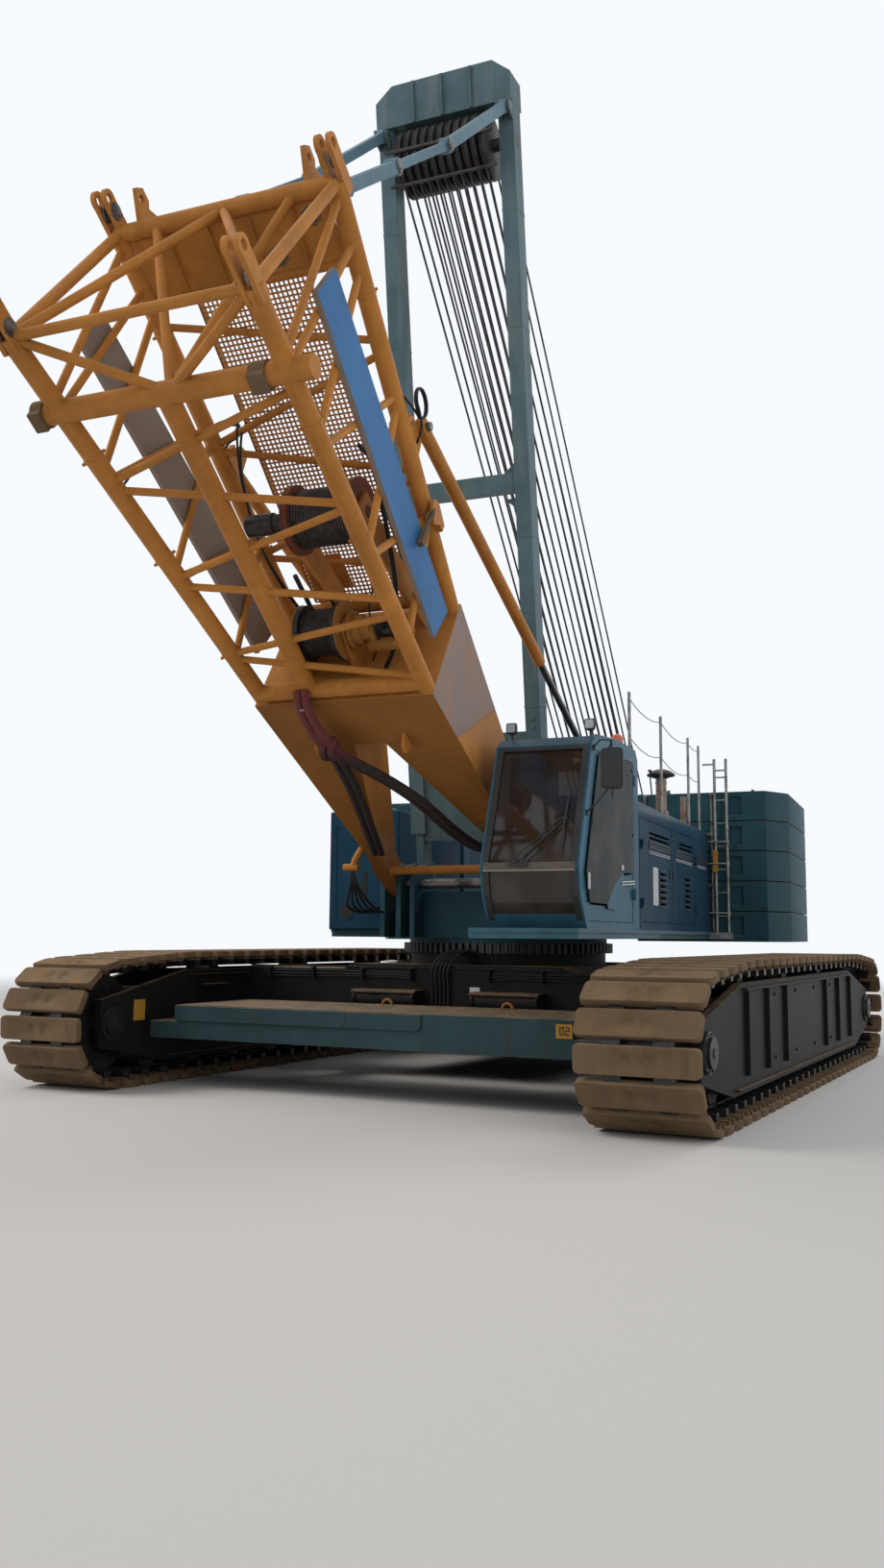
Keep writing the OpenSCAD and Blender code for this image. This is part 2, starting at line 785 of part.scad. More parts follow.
// Joint below the head link, and the joint halfway from there to the boom
knee = head_pin - head_link_l * [cos(head_link_fall), sin(head_link_fall)];
mid_joint = (knee + hang_pin) / 2;
hang_end = hang_pin + 420 * (knee - hang_pin) / norm(knee - hang_pin);

// Flat link of a pendant from p to q, with round eyes of radius r, of width w
module link(p, q, r, w) {
    across = 0.7 * r * [p[1] - q[1], q[0] - p[0]] / norm(q - p);
    along_x_at(pendant_x, w) polygon([p + across, q + across, q - across, p - across]);
    bar_x(p[0], p[1], r, pendant_x - w / 2, pendant_x + w / 2);
    bar_x(q[0], q[1], r, pendant_x - w / 2, pendant_x + w / 2);
}

module pendants() {
    color("#5f8fa3") on_deck() both_sides() {
        bar_x(head_pin[0], head_pin[1], 40 - fit, pendant_x - 90, pendant_x + 90);
        link(head_pin, knee, 85, 100);
        link(knee, mid_joint, 65, 70);
        link(mid_joint, hang_end, 85, 140);
        for (s = [-1, 1])
            bar([pendant_x + s * 62, hang_end[0], hang_end[1]] + 100 * unit3(knee - hang_pin),
                [pendant_x + s * 62, hang_pin[0], hang_pin[1]] - 60 * unit3(knee - hang_pin), 26);
    }
}

// Unit vector along a Y-Z direction, in 3D
function unit3(d) = [0, d[0], d[1]] / norm(d);

// Frame of the boom: origin at its foot pins, the boom runs along -Y, Z is up across it
module on_boom() {
    on_deck() translate([0, -boom_foot_y, boom_foot_z]) rotate([-boom_elev, 0, 0]) children();
}

// Share of the way from the plate box to the head at distance u from the foot pins
function boom_share(u) = (u - boom_box_l) / (boom_l - boom_box_l);

// Half width of the boom between chord centres at distance u
function chord_x(u) = boom_base_w + (boom_half_w - boom_base_w) * boom_share(u);

// Height of a chord's centre at distance u: s is 1 for the upper chords and -1 for the lower
function chord_z(u, s) = base_mid + (head_mid - base_mid) * boom_share(u)
    + s * (boom_base_d + (boom_half_d - boom_base_d) * boom_share(u));

// Distance of the head pins from the foot pins, s as above
function head_u(s) = s > 0 ? boom_l : boom_l + low_pin_ahead;

// Point on the centre line of the chord on side sx, level s, at distance u
function on_chord(sx, u, s) = [sx * chord_x(u), -u, chord_z(u, s)];

module boom_foot_box() {
    wide = boom_base_w + chord_r;
    plan = [[ear_in, 170], [ear_out, 170], [ear_out, -500], [wide, -1000], [wide, -boom_box_l],
        [0, -boom_box_l], [0, -crotch_u], [crotch_w, -crotch_u], [ear_in, -450]];
    side = concat(arc_points(0, 0, 170, -90, 90, 12),
        [[-boom_box_l, chord_z(boom_box_l, 1) + chord_r], [-boom_box_l, chord_z(boom_box_l, -1) - chord_r]]);
    color("#c98a2b") on_boom() difference() {
        intersection() {
            both_sides() translate([0, 0, -1000]) linear_extrude(2000) polygon(plan);
            along_x(2400) polygon(side);
        }
        bar_x(0, 0, pin_r + 0.2, -1300, 1300);
    }
}

// Distance from the foot pins at a share of the way from the plate box to the head
function station(share) = boom_box_l + share * (boom_l - boom_box_l);

// Lacing of the lower face: share at which each tube's right end lies, and its left end
bottom_lacing = [[0.7800, 0.6471], [0.5229, 0.6275], [0.5120, 0.3922], [0.2723, 0.3660],
    [0.2266, 0.1569], [0.0392, 0.1416]];
// Lacing of the upper face, in the same columns
top_lacing = [[0.6362, 0.7451], [0.6100, 0.4749], [0.3529, 0.4619], [0.3333, 0.1983], [0.1198, 0.1874]];
// Lacing of the sides: share at which each tube's upper end lies, and its lower end
side_lacing = [[0.9107, 0.8388], [0.8235, 0.8170], [0.7734, 0.6754], [0.5163, 0.6536],
    [0.4946, 0.4052], [0.2397, 0.3878], [0.2244, 0.1416]];

module boom_lattice() {
    color("#c98a2b") on_boom() difference() {
        union() {
            for (sx = [-1, 1], sz = [-1, 1]) {
                bar(on_chord(sx, boom_box_l - 60, sz), on_chord(sx, head_u(sz) - 300, sz), chord_r);
                for (s = [-1, 1]) translate([sx * boom_half_w + s * ear_gap, 0, head_z(sz)]) {
                    along_x(ear_t) polygon([[-head_u(sz), -80], [-head_u(sz), 80],
                        [head_ear - head_u(sz), 78], [head_ear - head_u(sz), -78]]);
                    bar_x(-head_u(sz), 0, 85, -ear_t / 2, ear_t / 2);
                }
            }
            cross_tube(spine_tie, -1, 100, 230);
            cross_tube(box_tie, -1, 90, 0);
            bar([-50, -spine_tie, chord_z(spine_tie, -1)], [-350, -box_tie, chord_z(box_tie, -1)], 95);
            cross_tube(head_tie, 1, head_tie_r, 0);
            cross_tube(pin_tie, -1, 45, 0);
            cross_tube(plate_tie, 1, plate_tie_r, 0);
            cross_tube(box_tie_top, 1, 70, 0);
            for (r = bottom_lacing)
                bar(on_chord(1, station(r[0]), -1), on_chord(-1, station(r[1]), -1), lacing_r);
            for (r = top_lacing)
                bar(on_chord(1, station(r[0]), 1), on_chord(-1, station(r[1]), 1), lacing_r);
            for (sx = [-1, 1]) {
                for (r = side_lacing)
                    bar(on_chord(sx, station(r[0]), 1), on_chord(sx, station(r[1]), -1), lacing_r);
                bar(on_chord(sx, pin_tie, -1), [0, -head_tie, chord_z(head_tie, 1)], 42);
                bar(on_chord(sx, head_tie, 1), on_chord(sx, pin_tie, -1), 52);
                bar(on_chord(sx, pin_tie, -1), [0, -spine_tie, chord_z(spine_tie, -1)], 42);
                bar([sx * 700, -head_tie, chord_z(head_tie, 1)],
                    [0, -spine_tie, chord_z(spine_tie, -1)], 42);
                along_x_at(sx * pendant_x, 44) polygon([[-head_tie - 70, chord_z(head_tie, 1)],
                    [-pendant_u - lug_half, pendant_v], [-pendant_u - 60, pendant_v + 95],
                    [60 - pendant_u, pendant_v + 95], [lug_half - pendant_u, pendant_v + 40],
                    [-hang_u - 60, hang_v + 90], [60 - hang_u, hang_v + 90],
                    [lug_half - hang_u, hang_v + 30], [lug_half - hang_u, hang_v - 70],
                    [60 - head_tie, chord_z(head_tie, 1) + 30]]);
                block([sx * chord_x(backstop_u) - 30, -backstop_u - 100, chord_z(backstop_u, 1)],
                    [sx * chord_x(backstop_u) + 30, -backstop_u + 100, backstop_v + 70]);
            }
            both_sides()
                bar_x(-backstop_u, backstop_v, 35, chord_x(backstop_u), backstop_x + 70);
        }
        block([-2000, -boom_box_l, -2000], [2000, 0, 2000]);
        bar_x(-pendant_u, pendant_v, 40, -1000, 1000);
        bar_x(-hang_u, hang_v, 40, -1000, 1000);
        for (s = [-1, 1])
            bar_x(-head_u(s), head_z(s), 45, -1300, 1300);
    }
}

// Height of the head pins
function head_z(s) = chord_z(boom_l, s);

// Tube across the boom's upper or lower face that runs over the chords' centres by the length over
module cross_tube(u, s, r, over) {
    bar_x(-u, chord_z(u, s), r, -chord_x(u) - over, chord_x(u) + over);
}

// Extrusion of a Y-Z outline of width w centred on x
module along_x_at(x, w) {
    translate([x, 0, 0]) along_x(w) children();
}

// Underside of the walkway, on the lacing of the upper face
function walk_z(u) = chord_z(u, 1) + (lacing_r + fit) / cos(top_rise);

module boom_walkway() {
    near = plate_tie + plate_tie_r + fit;
    far = head_tie - head_tie_r - fit;
    walk_end = plate_tie - plate_tie_r - 10;
    plate_half = chord_x(near) - chord_r - 2 * fit;
    color("#c98a2b") on_boom() {
        along_x(2 * plate_half) polygon([[-near, chord_z(near, 1) - 8], [-far, chord_z(far, 1) - 8],
            [-far, chord_z(far, 1) + 8], [-near, chord_z(near, 1) + 8]]);
        along_x_at(walk_x, walk_w) polygon([[-walk_start, walk_z(walk_start)],
            [-walk_end, walk_z(walk_end)], [-walk_end, walk_z(walk_end) + walk_t],
            [-walk_start, walk_z(walk_start) + walk_t]]);
    }
}

module side_boards() {
    taper = atan((boom_half_w - boom_base_w) / (boom_l - boom_box_l));
    side_board = [[-walk_start, 213], [-walk_start - 96, -300], [621 - boom_l, -169],
        [665 - boom_l, 320]];
    color("#1f63a8") on_boom() both_sides()
        translate([chord_x(0), 0, 0]) rotate([0, 0, taper])
            along_x_at(lacing_r + fit + board_t / 2, board_t) polygon(side_board);
}

// Side plates of the winches: drum centre x, its half length, distance, height, and the lower
// and upper edge of the plates where they meet the plate box
winch_plates = [[upper_x, upper_half, upper_u, upper_v, 260, 440],
    [lower_x, lower_half, lower_u, lower_v, -420, 100]];

module winch_frames() {
    color("#8a6a2c") on_boom() difference() {
        for (f = winch_plates, s = [-1, 1])
            along_x_at(f[0] + s * (f[1] + 45), 40) polygon([[-boom_box_l, f[4]], [-boom_box_l, f[5]],
                [-f[2] - 140, f[3] + 130], [-f[2] - 140, f[3] - 130], [-f[2] + 100, f[3] - 200]]);
        bar_x(-upper_u, upper_v, axle_r + fit, -1000, 1000);
        bar_x(-lower_u, lower_v, axle_r + fit, -700, 700);
    }
}

// Winch drum centred on x, with its flanges at the ends of its half length
module boom_drum(x, half, u, v, r) {
    on_boom() translate([x, 0, 0]) {
        bar_x(-u, v, r - 70, -half, half);
        for (s = [-1, 1])
            bar_x(-u, v, r, s * (half - 25) - 25, s * (half - 25) + 25);
        bar_x(-u, v, axle_r, -half - 70, half + 70);
    }
}

module upper_drum() {
    color("#7d3b22") boom_drum(upper_x, upper_half, upper_u, upper_v, 340);
}

module lower_drum() {
    color("#2b2723") boom_drum(lower_x, lower_half, lower_u, lower_v, 300);
}

backstop_pin = boom_foot + backstop_u * boom_fore + backstop_v * boom_up;
backstop_dir = unit3([eye_y, eye_z] - backstop_pin);
backstop_len = norm([eye_y, eye_z] - backstop_pin);

module backstop_tubes() {
    p = [backstop_x, backstop_pin[0], backstop_pin[1]];
    color("#c98a2b") on_deck() both_sides() difference() {
        union() {
            bar(p, p + backstop_tube * backstop_dir, tube_r);
            bar_x(p[1], p[2], 80, backstop_x - 50, backstop_x + 50);
        }
        bar(p + 120 * backstop_dir, p + (backstop_tube + 10) * backstop_dir, rod_r + fit);
        bar_x(p[1], p[2], 35.3, backstop_x - 80, backstop_x + 80);
    }
}

module backstop_rods() {
    p = [backstop_x, backstop_pin[0], backstop_pin[1]];
    color("#3a3c3d") on_deck() both_sides() {
        bar(p + (backstop_tube - rod_in) * backstop_dir, p + backstop_len * backstop_dir, rod_r);
        bar_x(eye_y, eye_z, 70, backstop_x - 40, backstop_x + 40);
        bar_x(eye_y, eye_z, 35, backstop_x - post_gap + fit, backstop_x - 39);
    }
}

carbody();
carbody_jacks();
slewing_ring();
ballast_front();
ballast_rear();
track_frame_left();
track_frame_right();
end_wheels();
drive_sprockets();
track_rollers();
travel_drives();
track_left();
track_right();
deck();
foot_pins();
cab_platform();
cab_shell();
cab_glass();
cab_door();
door_glass();
operator_seat();
cab_console();
cab_lamps();
mirror_arm();  // mirror
house_left();
house_door_front();
house_door_rear();
engine();
intake_pipes();
house_right();
roof_posts();
rear_ladder();
counterweight_left();
counterweight_right();
hoist_drum();
tail_block();
gantry_frame();
gantry_head();
gantry_sheaves();
pendants();
boom_foot_box();
boom_lattice();
boom_walkway();
side_boards();
winch_frames();
upper_drum();
lower_drum();
backstop_tubes();
backstop_rods();
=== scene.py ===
from math import acos, atan2, cos, degrees, hypot, pi, radians, sin

import bmesh
import bpy
from bpy.props import FloatProperty, FloatVectorProperty, PointerProperty
from mathutils import Matrix, Vector


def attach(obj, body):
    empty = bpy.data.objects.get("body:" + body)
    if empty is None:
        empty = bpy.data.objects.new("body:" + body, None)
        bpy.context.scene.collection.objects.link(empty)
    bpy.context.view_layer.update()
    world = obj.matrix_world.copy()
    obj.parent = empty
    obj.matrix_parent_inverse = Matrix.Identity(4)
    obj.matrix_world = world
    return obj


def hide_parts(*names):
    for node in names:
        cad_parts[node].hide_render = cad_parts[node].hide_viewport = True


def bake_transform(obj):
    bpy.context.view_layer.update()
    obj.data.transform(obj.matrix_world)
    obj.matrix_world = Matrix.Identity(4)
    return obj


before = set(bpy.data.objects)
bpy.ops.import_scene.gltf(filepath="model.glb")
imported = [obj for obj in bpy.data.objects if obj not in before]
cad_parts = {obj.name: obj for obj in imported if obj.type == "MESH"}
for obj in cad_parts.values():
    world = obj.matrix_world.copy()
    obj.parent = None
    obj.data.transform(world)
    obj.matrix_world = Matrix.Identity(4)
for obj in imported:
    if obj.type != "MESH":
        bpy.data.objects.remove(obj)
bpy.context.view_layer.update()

bl_info = {
    "name": "Crawler crane dressing",
    "version": (1, 0, 0),
    "blender": (4, 5, 0),
    "location": "View3D > Sidebar > Crane",
    "description": "Finishes, ropes, hoses, shoes and trim of a crawler crane",
    "category": "Object",
}

# Angles and places of the turning parts, as the solids are placed
SLEW, RISE, LEAN = radians(5.8), radians(34.5), radians(8.2)
BOOM_PIN = (0, -1.5, 2.5)
GROUND = Matrix()
DECK = Matrix.Rotation(SLEW, 4, "Z")
BOOM = DECK @ Matrix.Translation(BOOM_PIN) @ Matrix.Rotation(-RISE, 4, "X")
MAST = DECK @ Matrix.Translation((0, -1.05, 2.6)) @ Matrix.Rotation(LEAN, 4, "X")
PLACES = {"undercarriage": GROUND, "superstructure": DECK, "cab_door": DECK, "house_door_front": DECK,
          "house_door_rear": DECK, "pendants": DECK, "gantry": MAST, "boom": BOOM, "upper_drum": BOOM,
          "lower_drum": BOOM}
X, Y, Z = (1, 0, 0), (0, 1, 0), (0, 0, 1)
BOTH = (-1, 1)


# Sizes and colours that a user may change

def length(label, default, note):
    return FloatProperty(name=label, description=note, default=default, min=0, unit="LENGTH")


def tint(label, default, note):
    return FloatVectorProperty(name=label, description=note, default=default, size=3,
                               min=0, max=1, subtype="COLOR")


class CraneSizes(bpy.types.PropertyGroup):
    rope_radius: length("Rope radius", 0.015, "Radius of the boom hoist ropes")
    mesh_pitch: length("Mesh pitch", 0.048, "Distance between the holes of the boom walkway")
    mesh_bar: length("Mesh bar", 0.018, "Width of the metal between the walkway's holes")
    shoe_gap: length("Shoe gap", 0.078, "Gap between two track shoes")
    hose_radius: length("Hose radius", 0.016, "Radius of a hydraulic hose")
    sling_radius: length("Sling radius", 0.046, "Radius of the round slings under the boom")


class CraneColours(bpy.types.PropertyGroup):
    boom: tint("Boom", (0.43, 0.175, 0.036), "Orange-yellow paint of the boom")
    board: tint("Boards", (0.034, 0.13, 0.30), "Blue of the boom's side boards")
    house: tint("House", (0.016, 0.052, 0.088), "Blue paint of the engine house")
    cab: tint("Cab", (0.035, 0.115, 0.17), "Blue paint of the cab")
    mast: tint("Mast", (0.075, 0.125, 0.14), "Grey-blue paint of the A-frame")
    weight: tint("Counterweight", (0.02, 0.068, 0.085), "Blue-green paint of the counterweight")
    ballast: tint("Ballast", (0.026, 0.052, 0.058), "Teal paint of the ballast slabs")
    under: tint("Undercarriage", (0.011, 0.011, 0.0105), "Near-black paint of the undercarriage")
    shoe: tint("Shoes", (0.15, 0.098, 0.056), "Dusty steel of the track shoes")
    dust: tint("Dust", (0.27, 0.178, 0.102), "Dried mud and dust")
    rust: tint("Rust", (0.16, 0.045, 0.015), "Rust")


# Finishes

class Wire:
    """A shader socket that takes part in sums and products."""

    def __init__(self, kit, socket):
        self.kit, self.socket = kit, socket

    def maths(self, operation, first, second):
        return self.kit.node("ShaderNodeMath", {"operation": operation}, {0: first, 1: second})

    def __add__(self, other):
        return self.maths("ADD", self, other)

    def __sub__(self, other):
        return self.maths("SUBTRACT", self, other)

    def __rsub__(self, other):
        return self.maths("SUBTRACT", other, self)

    def __mul__(self, other):
        return self.maths("MULTIPLY", self, other)

    def __gt__(self, other):
        return self.maths("GREATER_THAN", self, other)

    __radd__, __rmul__ = __add__, __mul__


def rgba(colour):
    return colour if isinstance(colour, Wire) else (*colour, 1.0)


def shade(colour, factor):
    return tuple(min(1.0, c * factor) for c in colour)


class Kit:
    """Makes the nodes of one tree."""

    def __init__(self, tree):
        self.tree = tree
        tree.nodes.clear()

    def node(self, kind, settings=None, sockets=None, out=0):
        node = self.tree.nodes.new(kind)
        for key, value in (settings or {}).items():
            setattr(node, key, value)
        for key, value in (sockets or {}).items():
            if isinstance(value, Wire):
                self.tree.links.new(value.socket, node.inputs[key])
            else:
                node.inputs[key].default_value = value
        return Wire(self, node.outputs[out]) if node.outputs else None

    def place(self):
        return self.node("ShaderNodeTexCoord", out="Object")

    def noise(self, scale, detail=4.0, stretch=(1, 1, 1), rough=0.55):
        where = self.node("ShaderNodeMapping", None, {"Vector": self.place(), "Scale": stretch})
        return self.node("ShaderNodeTexNoise", None,
                         {"Vector": where, "Scale": scale, "Detail": detail, "Roughness": rough})

    def step(self, value, low, high):
        return self.node("ShaderNodeMapRange", {"interpolation_type": "SMOOTHSTEP"},
                         {0: value, 1: low, 2: high, 3: 0.0, 4: 1.0})

    def mix(self, first, second, mask):
        return self.node("ShaderNodeMix", {"data_type": "RGBA"},
                         {0: mask, 6: rgba(first), 7: rgba(second)}, 2)

    def facing(self, axis):
        """How far the surface faces along one axis of the piece, from -1 to 1"""
        normal = self.node("ShaderNodeTexCoord", out="Normal")
        return self.node("ShaderNodeSeparateXYZ", None, {0: normal}, axis)

    def along(self, axis):
        return self.node("ShaderNodeSeparateXYZ", None, {0: self.place()}, axis)

    def edge(self, radius):
        """1 on sharp edges and 0 on flat faces"""
        soft = self.node("ShaderNodeBevel", {"samples": 3}, {"Radius": radius})
        true = self.node("ShaderNodeNewGeometry", out="Normal")
        same = self.node("ShaderNodeVectorMath", {"operation": "DOT_PRODUCT"},
                         {0: soft, 1: true}, "Value")
        return self.step(1 - same, 0.01, 0.22)

    def bump(self, height, distance, strength=1.0):
        return self.node("ShaderNodeBump", None,
                         {"Height": height, "Distance": distance, "Strength": strength})


class Finish(Kit):
    """One material and the nodes that it is made of."""

    def __init__(self, name):
        self.material = bpy.data.materials.new(name)
        self.material.use_nodes = True
        super().__init__(self.material.node_tree)

    def finish(self, **sockets):
        named = {key.replace("_", " "): value for key, value in sockets.items()}
        return self.end(self.node("ShaderNodeBsdfPrincipled", None, named))

    def end(self, shader):
        self.node("ShaderNodeOutputMaterial", None, {"Surface": shader})
        return self.material


def paint(name, colour, rough, wear, dust, rust, streak, under=(0.20, 0.19, 0.17), extra=None, metal=0.0,
          shine=0.15):
    """Weathered paint: faded and dull in patches, dusty on top, streaked on its sides, chipped
    along edges and rusty in spots"""
    kit, colours = Finish(name), bpy.context.scene.crane_colours
    tone = kit.noise(0.5, 5)
    patch = kit.noise(3.2, 6)
    fine = kit.noise(38, 5, rough=0.65)
    base = kit.mix(shade(colour, 0.74), shade(colour, 1.22), kit.step(tone * 0.6 + patch * 0.4, 0.3, 0.7))
    if extra:
        base = extra(kit, base)
    drips = kit.step(kit.noise(1.0, 5, (9, 9, 0.55)), 0.5, 0.75) * kit.step(patch, 0.35, 0.75)
    side = 1 - kit.step(kit.facing(2), 0.2, 0.8)
    base = kit.mix(base, shade(colours.rust, 0.35), drips * side * streak)
    top = kit.step(kit.facing(2), 0.25, 0.95)
    dusty = top * kit.step(patch * 0.5 + fine * 0.5, 0.3, 0.62) * dust
    base = kit.mix(base, colours.dust, dusty)
    chips = kit.edge(0.012) * kit.step(fine * 0.55 + patch * 0.45, 0.42, 0.58)
    base = kit.mix(base, under, chips * wear)
    spots = kit.step(kit.noise(7.5, 8, rough=0.7), 0.66, 0.72) * kit.step(tone, 0.4, 0.65)
    base = kit.mix(base, colours.rust, spots * rust)
    dull = fine * 0.16 + patch * 0.14 + dusty * 0.3 + (rough - 0.15)
    height = fine * 0.25 + patch * 0.5 - chips * 0.5
    return kit.finish(Base_Color=base, Roughness=dull, Metallic=metal,
                      Normal=kit.bump(height, 0.0016, 0.6), Specular_IOR_Level=shine)


def steel(name, colour, rough, metal, grime=(0.02, 0.018, 0.016), scale=6.0, rust=0.2):
    """Bare or greasy metal with dirt in patches and some rust"""
    kit, colours = Finish(name), bpy.context.scene.crane_colours
    patch, fine = kit.noise(scale, 7, rough=0.62), kit.noise(scale * 11, 4)
    base = kit.mix(shade(colour, 0.65), shade(colour, 1.25), kit.step(fine, 0.3, 0.7))
    base = kit.mix(base, grime, kit.step(patch, 0.42, 0.68) * 0.8)
    base = kit.mix(base, colours.rust, kit.step(kit.noise(scale * 2.3, 8), 0.58, 0.7) * rust)
    return kit.finish(Base_Color=base, Roughness=fine * 0.25 + patch * 0.2 + (rough - 0.2), Metallic=metal,
                      Normal=kit.bump(fine, 0.0009, 0.5))


def rubber(name, colour, rough, scale, extra=None):
    """Rubber, plastic and cloth-covered hose: matt, with dust caught in fine grain"""
    kit, colours = Finish(name), bpy.context.scene.crane_colours
    patch, fine = kit.noise(2.5, 5), kit.noise(scale, 4)
    base = kit.mix(shade(colour, 0.7), shade(colour, 1.3), fine)
    if extra:
        base = extra(kit, base)
    caught = kit.step(patch, 0.45, 0.8) * kit.step(kit.facing(2), 0, 1) * 0.5
    base = kit.mix(base, shade(colours.dust, 0.7), caught)
    return kit.finish(Base_Color=base, Roughness=fine * 0.2 + (rough - 0.1),
                      Normal=kit.bump(fine, 0.0006, 0.5), Specular_IOR_Level=0.3)


def glass(name, colour, alpha, rough=0.04, shine=0.7):
    """Tinted glass with a film of dust in its corners"""
    kit = Finish(name)
    film = kit.step(kit.noise(1.6, 6), 0.4, 0.75)
    base = kit.mix(colour, (0.14, 0.125, 0.11), film * 0.35)
    return kit.finish(Base_Color=base, Roughness=film * 0.16 + rough, Alpha=film * 0.1 + alpha,
                      IOR=1.5, Specular_IOR_Level=shine)


def mast_wash(kit, base):
    """Rain-washed greyer runs down the A-frame"""
    run = kit.step(kit.noise(1.0, 4, (6, 6, 0.25)), 0.45, 0.7)
    return kit.mix(base, (0.15, 0.17, 0.165), run * 0.45)


def foot_wash_and_shade(kit, base):
    """Chalky grey paint on the outer sides of the boom's foot ahead of its weld line, and painted shade
    below
    """
    x, y, z = (kit.along(i) for i in range(3))
    y = y * cos(SLEW) - x * sin(SLEW) + -BOOM_PIN[1]
    z = z - BOOM_PIN[2]
    ahead = z * sin(RISE) - y * cos(RISE)
    across = y * sin(RISE) + z * cos(RISE)
    weld = kit.step(ahead + across * 0.636, 2.95, 2.98)
    out = kit.step(kit.facing(0), 0.7, 0.95) + kit.step(0 - kit.facing(0), 0.7, 0.95)
    worn = kit.step(kit.noise(1.7, 6), 0.25, 0.6) * 0.4 + 0.6
    # Painted shade: faces that look down are darkened towards brown
    base = kit.mix(base, (0.13, 0.055, 0.02), kit.step(0 - kit.facing(2), 0.3, 0.8) * 0.5)
    return kit.mix(base, (0.24, 0.175, 0.15), weld * out * worn)


def board_back(kit, base):
    """Grey, unpainted backs of the boards, and scratches on their fronts"""
    x, facing = kit.along(0), kit.facing(0)
    back = ((x > 0) * (1 - kit.step(facing, 0.5, 0.9))
            + (1 - (x > 0)) * (1 - kit.step(0 - facing, 0.5, 0.9)))
    scratch = kit.step(kit.noise(2.2, 8, (1, 9, 9), 0.75), 0.62, 0.66)
    base = kit.mix(base, (0.13, 0.22, 0.36), scratch * 0.5)
    return kit.mix(base, (0.25, 0.20, 0.165), back)


def sling_sleeve(kit, base):
    """Dark sleeves on the slings below their knot"""
    return kit.mix((0.032, 0.022, 0.019), base, kit.step(kit.along(2), 3.6, 3.85))


